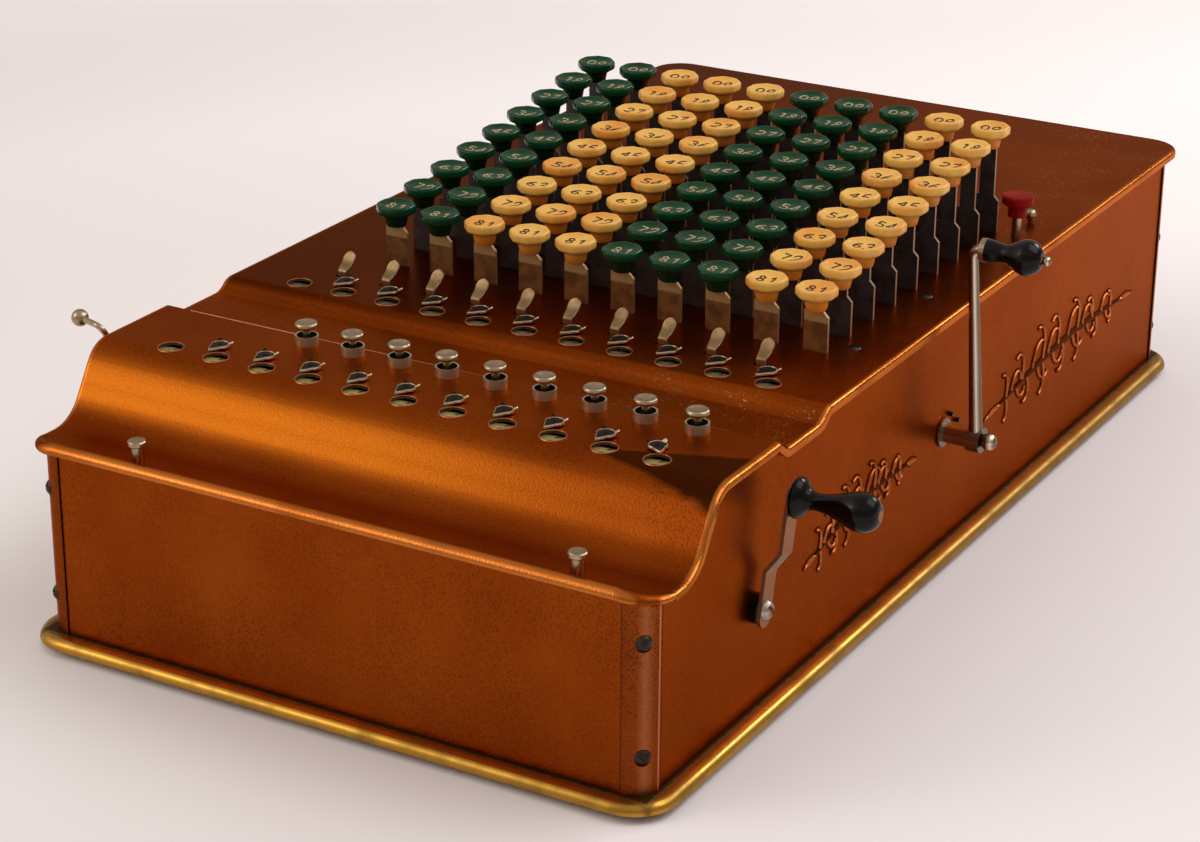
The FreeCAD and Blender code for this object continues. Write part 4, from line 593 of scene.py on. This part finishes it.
grip_black = plain_coat("black_lacquer_grip", shade(6, 5, 6), shade(14, 10, 9), 0.08, 9.0,
                        0.002, IOR=1.35, Specular_IOR_Level=0.3)
rubber = plain_coat("rubber", shade(34, 32, 30), shade(50, 47, 44), 0.75, 3.0, 0.04)
wheel_paint = plain_coat("wheel_paint", shade(150, 134, 80), shade(126, 110, 62), 0.35, 5.0)
# Painted shade: a darker copy of the wheel paint, for the upper wheels.
shaded_paint = plain_coat("shaded_paint", shade(96, 84, 62), shade(72, 62, 46), 0.35, 5.0)
wheel_ink = plain_coat("wheel_ink", shade(58, 50, 28), shade(74, 66, 40), 0.4, 1.2)
ink = plain_coat("key_ink", shade(14, 11, 8), shade(30, 22, 14), 0.4, 1.2)
faded_ink = plain_coat("faded_ink", shade(176, 160, 120), shade(128, 118, 84), 0.3, 1.2)
pointer_paint = plain_coat("pointer_paint", shade(14, 8, 6), shade(30, 16, 8), 0.35, 2.0,
                           IOR=1.3, Specular_IOR_Level=0.2)
hole_edge = plain_coat("hole_edge", shade(64, 50, 28), shade(44, 32, 18), 0.5, 2.0)
print("9 coats")

# %% [markdown]
# Each CAD node has a material slot that says what it is made of, and the finishes go in by
# that name. A few nodes have their own finish, for wear and for painted light and shade.

# %% Finishes on the CAD nodes
finish_of_slot = {
    "lacquer": lacquer, "post_lacquer": post_lacquer, "brass_rim": brass, "rubber": rubber,
    "dark_screw": dark_steel, "inner_steel": mill_steel, "stem_steel": stem_steel,
    "ivory": ivory, "green": green, "red": red, "nickel": nickel,
    "strap_steel": strap_steel, "grip_black": grip_black, "pointer_metal": pointer_paint,
    "number_wheel": wheel_paint}
finish_of_node = {
    "register_cover": register_lacquer, "keyboard_cover": plate_lacquer,
    "left_side_panel": side_lacquer, "right_side_panel": side_lacquer,
    "upper_number_wheels": shaded_paint, "button_collars": cup_nickel,
    "rear_crank_arm": arm_steel, "rear_crank_shaft": arm_steel}
for name, node in nodes.items():
    for slot in node.material_slots:
        usual = finish_of_slot[slot.material.name.split(".")[0]]
        slot.material = finish_of_node.get(name, usual)
print("dressed", len(nodes), "nodes")

# %% [markdown]
# Every new piece starts as a grid of points, worked out by a formula of two parameters, such
# as the place along a profile and the angle round an axis. Copies are one more dimension of
# the same array. The grid becomes quads; rows that shrink to a point close its ends.

# %% Grids to meshes
def cells_of(copies, rows, columns):
    """Corner numbers of each cell of each copy's grid; the last column joins the first."""
    number = np.arange(copies * rows * columns).reshape(copies, rows, columns)
    beside = np.roll(number, -1, axis=2)
    corners = [number[:, :-1], beside[:, :-1], beside[:, 1:], number[:, 1:]]
    return np.stack(corners, axis=3).reshape(-1, 4)


def build_piece(name, layers, sharp=40):
    """A smooth closed mesh from layers of (grid of points in mm, material)."""
    mesh = bpy.data.meshes.new(name)
    points, faces, slots = [], [], []
    for index, (grid, material) in enumerate(layers):
        grid = grid.reshape(-1, *grid.shape[-3:])
        cells = cells_of(*grid.shape[:3]) + sum(len(p) for p in points)
        points.append(grid.reshape(-1, 3) * MM)
        faces.append(cells)
        slots.append(np.full(len(cells), index))
        mesh.materials.append(material)
    mesh.from_pydata(np.concatenate(points).tolist(), [], np.concatenate(faces).tolist())
    mesh.polygons.foreach_set("material_index", np.concatenate(slots).astype(np.int32))
    shell = bmesh.new()
    shell.from_mesh(mesh)
    bmesh.ops.remove_doubles(shell, verts=shell.verts, dist=0.002 * MM)
    bmesh.ops.recalc_face_normals(shell, faces=shell.faces)
    shell.to_mesh(mesh)
    shell.free()
    mesh.shade_smooth()
    mesh.set_sharp_from_angle(angle=math.radians(sharp))
    piece = bpy.data.objects.new(name, mesh)
    bpy.context.scene.collection.objects.link(piece)
    return piece


def stand_in(piece, node, body):
    """The piece moves with the body and takes the CAD node's place in the picture."""
    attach(piece, body)
    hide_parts(node)


print("3 by 4 points make", len(cells_of(1, 3, 4)), "cells")

# %% [markdown]
# Most pieces of such a machine are turned, bent or drawn, and each of these ways to make a
# thing is also a formula: a profile round an axis, a section carried along a path, a strip
# along a line. The curves themselves run through a few given points.

# %% Turned, swept and drawn forms
def lathe(profile, segments=32):
    """Turned form: (r, h) of the profile at angle a becomes (r cos a, r sin a, h)."""
    radius, height = np.array(profile, float).T[:, :, None]
    turn = np.linspace(0, 2 * np.pi, segments, endpoint=False)
    return np.stack([radius * np.cos(turn), radius * np.sin(turn), height + 0 * turn], axis=2)


def copies_at(grid, places):
    """The grid once at each place."""
    return grid + np.array(places, float)[:, None, None, :]


def through(points, count=13):
    """A curve through points: on each stretch the cubic whose slopes are half of the
    difference of its neighbours (Catmull and Rom's curve), sampled at count places."""
    points = np.array(points, float)
    padded = np.concatenate([2 * points[:1] - points[1:2], points,
                             2 * points[-1:] - points[-2:-1]])
    place = np.linspace(0, len(points) - 1, count)
    stretch = np.minimum(place.astype(int), len(points) - 2)
    t = (place - stretch)[:, None]
    a, b, c, d = [padded[stretch + k] for k in range(4)]
    return b + 0.5 * t * (c - a + t * (2 * a - 5 * b + 4 * c - d + t * (3 * (b - c) + d - a)))


def closed_ends(grid):
    """Adds a first and a last row shrunk to their middle points."""
    first = np.broadcast_to(grid[..., :1, :, :].mean(axis=-2, keepdims=True),
                            grid[..., :1, :, :].shape)
    last = np.broadcast_to(grid[..., -1:, :, :].mean(axis=-2, keepdims=True),
                           grid[..., -1:, :, :].shape)
    return np.concatenate([first, grid, last], axis=-3)


def flat_strokes(lines, width, low, high):
    """Strips along flat lines: at each point, half the width to each side at right angles to
    the line, from height low to high."""
    along = np.gradient(lines, axis=1)
    along /= np.linalg.norm(along, axis=2, keepdims=True)
    side = np.stack([-along[..., 1], along[..., 0]], axis=2) * width / 2
    left, right = lines + side, lines - side
    corners = [np.concatenate([edge, np.full_like(edge[..., :1], height)], axis=2)
               for edge, height in ((left, low), (left, high), (right, high), (right, low))]
    return closed_ends(np.stack(corners, axis=2))


def sweep(path, wide, thick, across, segments=12, square=0.6):
    """Bar along a path, wide along `across` and thick at right angles to both. At angle a its
    section is (|cos a| ** square, |sin a| ** square) with their signs: round for 1, nearly
    square towards 0."""
    along = np.gradient(path, axis=-2)
    along /= np.linalg.norm(along, axis=-1, keepdims=True)
    up = np.cross(along, across)
    up /= np.linalg.norm(up, axis=-1, keepdims=True)
    side = np.cross(up, along)
    turn = np.linspace(0, 2 * np.pi, segments, endpoint=False) + np.pi / segments
    out, rise = [np.sign(f) * np.abs(f) ** square for f in (np.cos(turn), np.sin(turn))]
    halves = [np.broadcast_to(size, path.shape[:-1])[..., None, None] / 2
              for size in (wide, thick)]
    return closed_ends(path[..., None, :]
                       + side[..., None, :] * halves[0] * out[:, None]
                       + up[..., None, :] * halves[1] * rise[:, None])


def turned_about_z(grid, degrees):
    """The grid turned by an angle about the upright axis."""
    c, s = math.cos(math.radians(degrees)), math.sin(math.radians(degrees))
    return grid @ np.array([[c, s, 0], [-s, c, 0], [0, 0, 1]])


print("two points turned:", lathe([(1, 0), (1, 1)]).shape)

# %% [markdown]
# Digits: each one is a few pen strokes through listed points in a box 0.6 wide and 1
# high, in the plain upright style of an engraver's stylus. A nine is a six turned round.

# %% Digits as strokes
ring = [(0.3, 1), (0.07, 0.8), (0.03, 0.5), (0.07, 0.2), (0.3, 0), (0.53, 0.2), (0.57, 0.5),
        (0.53, 0.8), (0.3, 1)]
six = [(0.52, 0.93), (0.2, 0.72), (0.05, 0.38), (0.1, 0.1), (0.3, 0), (0.52, 0.1),
       (0.55, 0.35), (0.35, 0.52), (0.08, 0.36)]
PEN_STROKES = {
    0: [ring],
    1: [[(0.12, 0.78), (0.36, 1)], [(0.36, 1), (0.36, 0)]],
    2: [[(0.06, 0.75), (0.12, 0.93), (0.3, 1), (0.5, 0.93), (0.55, 0.74), (0.42, 0.45),
         (0.03, 0)], [(0.03, 0), (0.6, 0)]],
    3: [[(0.06, 0.86), (0.3, 1), (0.53, 0.88), (0.5, 0.64), (0.26, 0.54)],
        [(0.26, 0.54), (0.54, 0.43), (0.58, 0.15), (0.3, 0), (0.03, 0.12)]],
    4: [[(0.46, 1), (0.46, 0)], [(0.46, 1), (0.03, 0.3)], [(0.03, 0.3), (0.64, 0.3)]],
    5: [[(0.55, 1), (0.15, 1)], [(0.15, 1), (0.1, 0.56)],
        [(0.1, 0.56), (0.35, 0.62), (0.57, 0.42), (0.55, 0.12), (0.3, 0), (0.04, 0.1)]],
    6: [six],
    7: [[(0.04, 1), (0.58, 1)], [(0.58, 1), (0.36, 0.5), (0.26, 0)]],
    8: [[(0.3, 0.53), (0.08, 0.75), (0.3, 1), (0.52, 0.75), (0.3, 0.53), (0.03, 0.26), (0.3, 0),
         (0.57, 0.26), (0.3, 0.53)]],
    9: [[(0.6 - x, 1 - y) for x, y in six]]}


def digit(number, height, pen, low=0.0, high=0.05):
    """Strips of one digit about its own middle, pen millimetres wide."""
    lines = np.stack([through(stroke) for stroke in PEN_STROKES[number]])
    return flat_strokes((lines - (0.3, 0.5)) * height, pen, low, high)


print(sum(len(s) for s in PEN_STROKES.values()), "strokes in ten digits")

# %% [markdown]
# Key caps. A moulded cap is turned on a lathe and then given eight flats, so its outline is a
# circle cut by an octagon; the dish stays round. Finger oil and a century's light have
# darkened the ivory ones. The two digits, the key's own and what it lacks to nine, are
# engraved and inked, so here they lie in the dish and follow its hollow.

# %% Key caps and their digits
FIRST_COLUMN_X = -4 * COLUMN_PITCH
IVORY_COLUMNS = (3, 4, 5, 9, 10)
GREEN_COLUMNS = (1, 2, 6, 7, 8)
CAP_RADIUS, CAP_FLAT, DISH_RADIUS, DISH_DEPTH = 7.5, 7.05, 6.4, 1.5
FACETS = 8
LACK_SIZE, LACK_PEN, LACK_X = 4.7, 0.7, -2.35
OWN_SIZE, OWN_PEN, OWN_X = 5.5, 0.76, 1.75


def dish(radius):
    """Depth below the rim: -depth (1 - (r / R) ** 3), a bowl with a nearly flat bottom."""
    return -DISH_DEPTH * (1 - np.minimum(radius / DISH_RADIUS, 1) ** 3)


inside = np.array([0, 1.5, 3.0, 4.2, 5.1, 5.8, DISH_RADIUS])
outside = [(6.75, 0.04), (7.1, -0.12), (7.4, -0.5), (7.5, -0.95), (7.5, -2.5), (7.3, -3.1),
           (6.7, -3.5), (5.4, -4.2), (4.55, -4.7), (4.25, -5.2), (3.95, -6.8), (3.7, -8.1),
           (3.4, -CAP_HEIGHT), (0, -CAP_HEIGHT)]
profile = np.concatenate([np.stack([inside, dish(inside)], axis=1), outside])
facet = np.array([-17.6, -9.0, 0.0, 9.0, 17.6])
angles = np.radians((360 / FACETS * np.arange(FACETS)[:, None] + facet).ravel())
flats = np.tile(np.minimum(CAP_RADIUS, CAP_FLAT / np.cos(np.radians(facet))), FACETS) / CAP_RADIUS
radius, height = profile.T[:, :, None]
facetted = np.clip((radius - 4.6) / 1.6, 0, 1)
radius = radius * (1 + facetted * (flats - 1))
cap_grid = np.stack([radius * np.cos(angles), radius * np.sin(angles), height + 0 * angles],
                    axis=2)


def on_cap(strips, x):
    """Strips of a digit moved sideways by x and let down into the dish."""
    strips = strips + (x, 0.3, 0)
    strips[..., 2] += dish(np.hypot(strips[..., 0], strips[..., 1])) + 0.03
    return strips


for row in range(KEY_ROWS):
    y, top = FIRST_ROW_Y + row * ROW_PITCH, FIRST_ROW_TOP + row * ROW_RISE
    legend = [on_cap(digit(KEY_ROWS - 1 - row, LACK_SIZE, LACK_PEN), LACK_X),
              on_cap(digit(row + 1, OWN_SIZE, OWN_PEN), OWN_X)]
    for columns, coat, pen, node in ((IVORY_COLUMNS, ivory, ink, "ivory_caps_row_"),
                                     (GREEN_COLUMNS, green, faded_ink, "green_caps_row_")):
        places = [(FIRST_COLUMN_X + (c - 1) * COLUMN_PITCH, y, top) for c in columns]
        caps = [(copies_at(cap_grid, places), coat)]
        caps += [(mark[None] + np.array(places)[:, None, None, None, :], pen) for mark in legend]
        node += str(row + 1)
        stand_in(build_piece("dressed_" + node, caps), node, "key_row_%d" % (row + 1))
print(KEY_ROWS * (len(IVORY_COLUMNS) + len(GREEN_COLUMNS)), "caps with two digits each")

# %% [markdown]
# The number wheels show one digit at a time through round windows. The digits are painted
# round the rim, 36 degrees apart, and turn with the wheels. At rest the noughts stand in
# front of the windows' middles, so only their upper halves show.

# %% Digits on the wheels
WHEEL_RADIUS, WHEEL_DIGIT, WHEEL_PEN, DIGIT_AHEAD = 14.0, 6.6, 1.0, 4.4
windows_x = FIRST_COLUMN_X + COLUMN_PITCH * np.arange(-1, 10)


def painted_wheels(name, node, body):
    """Ten digits wrapped round each rim: across stays X, and the way up the digit, divided by
    the wheel's radius, becomes the angle."""
    low, high = in_mm(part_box(node))
    axle_y, axle_z = (low[1] + high[1]) / 2, (low[2] + high[2]) / 2
    layers = []
    for number in range(10):
        strips = digit(number, WHEEL_DIGIT, WHEEL_PEN, -0.05, 0.04)
        turn = np.radians(36 * number) + (strips[..., 1] - DIGIT_AHEAD) / WHEEL_RADIUS
        reach = WHEEL_RADIUS + strips[..., 2]
        wrapped = np.stack([strips[..., 0], axle_y + reach * np.sin(turn),
                            axle_z + reach * np.cos(turn)], axis=-1)
        row_of = np.array([(x, 0, 0) for x in windows_x])[:, None, None, None, :]
        layers.append((wrapped[None] + row_of, wheel_ink))
    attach(build_piece(name, layers), body)


painted_wheels("lower_digits", "lower_number_wheels", "lower_wheels")
painted_wheels("upper_digits", "upper_number_wheels", "upper_wheels")
print(2 * 10 * len(windows_x), "digits on", 2 * len(windows_x), "wheels")

# %% [markdown]
# Each window has a thin bright edge where the punch cut through the lacquer to bare metal.
# The rims are rings that follow the cover's own curve: the lower row of windows starts on the
# shoulder of the slope, so the front of each of its rings bends down with the sheet. A thin
# dark tube lines each hole, as the sheet's own thickness does.

# %% Window rims and linings
WINDOW_RADIUS, RIM_RADIUS, SHOULDER_RADIUS = 4.4, 0.2, 12.0
SLEEVE_WALL, SLEEVE_DEPTH = 0.06, 0.9
AROUND = np.linspace(0, 2 * np.pi, 41)[:, None]
lower_y, upper_y = [sum(c[1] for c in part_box(n)) / 2 / MM
                    for n in ("lower_number_wheels", "upper_number_wheels")]
register_top, plate_top = [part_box(n)[1][2] / MM for n in ("register_cover", "keyboard_cover")]
shoulder_y = lower_y - 2.0


def register_height(y):
    """Height of the register cover: flat behind the shoulder, an arc in front of it."""
    ahead = np.clip(shoulder_y - y, 0, SHOULDER_RADIUS * 0.85)
    return register_top - SHOULDER_RADIUS + np.sqrt(SHOULDER_RADIUS ** 2 - ahead ** 2)


def window_rims(y, height_at):
    """Rings round one row of windows, by angles u round the window and v round the ring: with
    reach = R + r cos v, the point (reach cos u, reach sin u) lies r sin v above the cover."""
    v = np.linspace(0, 2 * np.pi, 8, endpoint=False)
    reach = WINDOW_RADIUS + 0.1 + RIM_RADIUS * np.cos(v)
    ring_y = y + reach * np.sin(AROUND)
    ring = np.stack([reach * np.cos(AROUND), ring_y,
                     height_at(ring_y) + RIM_RADIUS * np.sin(v)], axis=2)
    return copies_at(ring, [(x, 0, 0) for x in windows_x])


def window_sleeves(y, height_at):
    """Thin tubes that line the punched holes, by the same angle u."""
    wall = np.array([0, 0, SLEEVE_WALL, SLEEVE_WALL])
    below = np.array([0.15, SLEEVE_DEPTH, SLEEVE_DEPTH, 0.15])
    reach = WINDOW_RADIUS - 0.01 - wall
    tube_y = y + reach * np.sin(AROUND)
    tube = np.stack([reach * np.cos(AROUND), tube_y, height_at(tube_y) - below], axis=2)
    return copies_at(tube, [(x, 0, 0) for x in windows_x])


def plate_height(y):
    """Height of the keyboard plate, the same everywhere."""
    return plate_top + 0 * y


rims = build_piece("window_rims", [
    (window_rims(lower_y, register_height), cut_edge),
    (window_rims(upper_y, plate_height), cut_edge),
    (window_sleeves(lower_y, register_height), hole_edge),
    (window_sleeves(upper_y, plate_height), hole_edge)])
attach(rims, "case")
print(2 * len(windows_x), "window rims")

# %% [markdown]
# The register cover ends in an edge that shows a bright hairline. A thin half-sunk bead in a
# pale colour paints it as a highlight, fading to the right.

# %% The register cover's rear edge
edge_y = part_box("register_cover")[1][1] / MM
edge_x = np.linspace(-111.0, 104.0, 41)
edge_line = np.stack([edge_x, edge_y - 0.3 + 0 * edge_x, register_top - 0.05 + 0 * edge_x],
                     axis=1)
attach(build_piece("cover_edge", [(sweep(edge_line, 0.7, 0.5, (0, 1, 0), 8, 1.0), edge_highlight)]),
        "case")
print("rear edge of the cover at", round(edge_y, 1))

# %% [markdown]
# Decimal pointers: small stamped hearts that turn on a rivet, black with a bright edge. The
# outline is a circle plus a point, r = disc + reach * exp(-|angle| / spread); the face is
# sunk inside a narrow raised rim, and two finger tabs rise at the back, one bright and one dark.

# %% Decimal pointers
POINTER_DISC, POINTER_REACH = 3.3, 2.9
POINTER_SIDE, POINTER_BACK = 4.2, 8.0
LOWER_LEAN, LOWER_LAST_LEAN, UPPER_LEAN = -5, 36, -16
angle = np.linspace(-np.pi, np.pi, 48, endpoint=False)
heart = (POINTER_DISC + POINTER_REACH * np.exp(-np.abs(angle) / 0.33)
         - 0.5 * np.exp(-((np.abs(angle) - 0.8) / 0.35) ** 2))


def heart_rows(rows):
    """Rows of (share of the outline, height); at angle a the outline is r (sin a, -cos a)."""
    share, height = np.array(rows).T[:, :, None]
    return np.stack([share * heart * np.sin(angle), -share * heart * np.cos(angle),
                     height + 0 * angle], axis=2)


face = heart_rows([(0, 1.3), (0.6, 1.3), (0.88, 1.3)])
rim = heart_rows([(0.88, 1.3), (0.9, 1.48), (0.95, 1.48), (1, 1.2), (1, 0.6), (0.96, 0.5),
                  (0, 0.5)])
rivet = lathe([(0, 1.6), (0.5, 1.55), (0.8, 1.35), (0.8, -0.8), (0, -0.8)], 20)
collar = lathe([(0, 0.6), (1.8, 0.6), (1.8, 0), (0, 0)], 20)
way = np.linspace(0, 1, 7)
tab_line = np.stack([0 * way, 2.6 + 2.0 * way, 1.0 + 0.75 * way ** 1.5], axis=1)
tab_width = 1.7 * np.sqrt(1 - np.clip(np.linspace(-1.2, 0.98, 7), 0, 1) ** 2)
tab = sweep(tab_line, tab_width, 0.55, (1, 0, 0))
pointer_layers = [face, rim, rivet, collar, turned_about_z(tab, -42), turned_about_z(tab, 42)]
pointer_coats = [pointer_paint, bright_nickel, pointer_paint, pointer_paint, bright_nickel,
                 pointer_paint]
layers = []
for row_y, top, usual, last in ((lower_y, register_top, LOWER_LEAN, LOWER_LAST_LEAN),
                                (upper_y, plate_top, UPPER_LEAN, UPPER_LEAN)):
    for x in windows_x[1:]:
        place = (x - POINTER_SIDE, row_y + POINTER_BACK, top)
        lean = last if x == windows_x[-1] else usual
        layers += [(turned_about_z(grid, lean) + place, coat)
                   for grid, coat in zip(pointer_layers, pointer_coats)]
stand_in(build_piece("dressed_decimal_pointers", layers), "decimal_pointers", "case")
print(len(layers) // len(pointer_layers), "pointers")

# %% [markdown]
# Finger paddles: thin nickelled blades, bent back twice, wider and round at the end, that
# pass down through slots to a rod. One side view and a bar carried along it make them all.

# %% Paddles
PADDLE_THICK, ROD_Z, ROD_BEHIND = 0.85, 90.0, 4.55
paddle_low = in_mm(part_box("cutoff_paddles"))[0]
side_view = through([(ROD_BEHIND, 0), (0.4, 1.7), (0, 4.5), (0, 10.6), (0.3, 11.7), (1.3, 12.4),
                     (3.6, 13.7), (5.2, 15.4), (6.45, 17.2)], 41)
share = np.linspace(0, 1, 41)
blade = 3.5 + 1.5 * np.clip((share - 0.5) / 0.35, 0, 1)
tip = np.sqrt(1 - np.clip((share - 0.84) / 0.161, 0, 1) ** 2)
front_y = paddle_low[1] + 0.45
path = np.concatenate([0 * share[:, None], side_view + (front_y, ROD_Z)], axis=1)
hub = lathe([(0, -2.5), (2.9, -2.5), (2.9, 2.5), (0, 2.5)], 24)[..., [2, 0, 1]]
paddle_x = [(x - COLUMN_PITCH / 2, 0, 0) for x in windows_x[1:]]
blades = sweep(path, blade * tip, PADDLE_THICK, (1, 0, 0), 16, 0.15)
paddles = build_piece("dressed_cutoff_paddles", [
    (copies_at(blades, paddle_x), dull_nickel),
    (copies_at(hub + (0, front_y + ROD_BEHIND, ROD_Z), paddle_x), dull_nickel)])
stand_in(paddles, "cutoff_paddles", "cutoff_paddles")
print(len(paddle_x), "paddles")

# %% [markdown]
# Buttons: pills turned on a lathe with their stems, a little hollow on top where the finger
# goes. They stand in the cups that the CAD model already has.

# %% Buttons
button_low, button_high = in_mm(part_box("cutoff_buttons"))
button = lathe([(0, -16), (1.6, -16), (1.6, -5.6), (1.45, -4.2), (1.55, -3.0), (2.2, -2.35),
                (3.3, -2.2), (3.85, -1.95), (4.1, -1.35), (4.1, -1.0), (3.95, -0.5),
                (3.6, -0.12), (3.2, 0), (2.85, -0.12), (2.3, -0.4), (1.2, -0.55), (0, -0.6)], 40)
button_places = [(x, (button_low[1] + button_high[1]) / 2, button_high[2])
                 for x in windows_x[2:]]
stand_in(build_piece("dressed_cutoff_buttons", [(copies_at(button, button_places), nickel)]),
         "cutoff_buttons", "cutoff_buttons")
print(len(button_places), "buttons")

# %% [markdown]
# Pressed scrollwork on the two sides, in the common leafy manner of the time: a stem with
# curls above and below it, longest in the middle. Every line is a curl whose heading turns with
# the square of the way along it, so it starts nearly straight and ends in a tight hook.

# %% Scroll sprays
SPRAYS = {"front": (-107.0, 44.5, 72.0, 6.0, 0.75), "rear": (50.0, 44.0, 122.0, 3.0, 0.95)}
CURLS_ABOVE = 13
spray_lines = []
for k in range(CURLS_ABOVE):
    share = 0.05 + 0.073 * k
    fullness = math.sin(math.pi * min(0.12 + share * 0.88, 1.0))
    spray_lines.append((share, 72, 7 + 14 * fullness, (120, -190, 150, -130)[k % 4]))
    spray_lines.append((share + 0.03, -66, 6 + 11 * fullness, (-100, 170, -150, 120)[k % 4]))


def curl(start, heading, length, turn, count=25):
    """Points of a flat line: at the share w of its way its heading is heading + turn w ** 2."""
    way = np.linspace(0, 1, count)
    bearing = np.radians(heading + turn * way ** 2)
    step = np.stack([np.cos(bearing), np.sin(bearing)], axis=1) * length / count
    return np.array(start) + np.cumsum(step, axis=0)


def spray(length, rise, size):
    """Flat lines of one spray with their widths: the curls and the two end leaves, and the
    stem, which rises evenly and bows upwards by a half sine."""
    way = np.linspace(0, 1, 25)
    stem = np.stack([length * way, 3.5 * np.sin(np.pi * way) + rise * way], axis=1)
    taper = 1.6 - 0.5 * way
    curls = [(curl(stem[int(share * (len(way) - 1))], heading, reach * size, turn), taper)
             for share, heading, reach, turn in spray_lines]
    leaf = 2.6 * np.sin(np.pi * np.clip(way * 1.05, 0, 1)) + 0.2
    for end, step in ((stem[:1], stem[0] - stem[1]), (stem[-1:], stem[-1] - stem[-2])):
        curls.append((end + step * 3 * way[:, None], leaf))
    return curls, (stem, 1.6 + 2.2 * np.sin(np.pi * way))


def scrollwork(name, side):
    """Both sprays of one side panel, half sunk in it: the stem dark with painted shadow for its
    groove, and each curl pale, a painted highlight on rubbed lacquer, on a wider base of painted
    shadow. side is 1 for the right panel and -1 for the left one."""
    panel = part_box(name + "_side_panel")[0 if side < 0 else 1][0] / MM
    layers = []

    def press(flat, start, height, wide, thick, coat):
        path = np.stack([np.full(len(flat), panel), start + flat[:, 0], height + flat[:, 1]],
                        axis=1)
        across = np.cross(np.gradient(path, axis=0), (1.0, 0, 0))
        layers.append((sweep(path, wide, thick, across, 8, 1.0), coat))

    for start, height, length, rise, size in SPRAYS.values():
        curls, (stem, stem_width) = spray(length, rise, size)
        # Painted shadow: the dark stem stands for its groove.
        press(stem, start, height, stem_width, 1.3, relief_shade)
        for flat, wide in curls:
            press(flat, start, height, wide, 1.6, relief)
            # Painted shadow: a wider dark base beside each curl.
            press(flat, start, height, wide + 1.4, 0.5, relief_shade)
    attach(build_piece(name + "_scrolls", layers), "case")


scrollwork("right", 1)
scrollwork("left", -1)
print(len(SPRAYS) * len(spray_lines), "curls on each side")
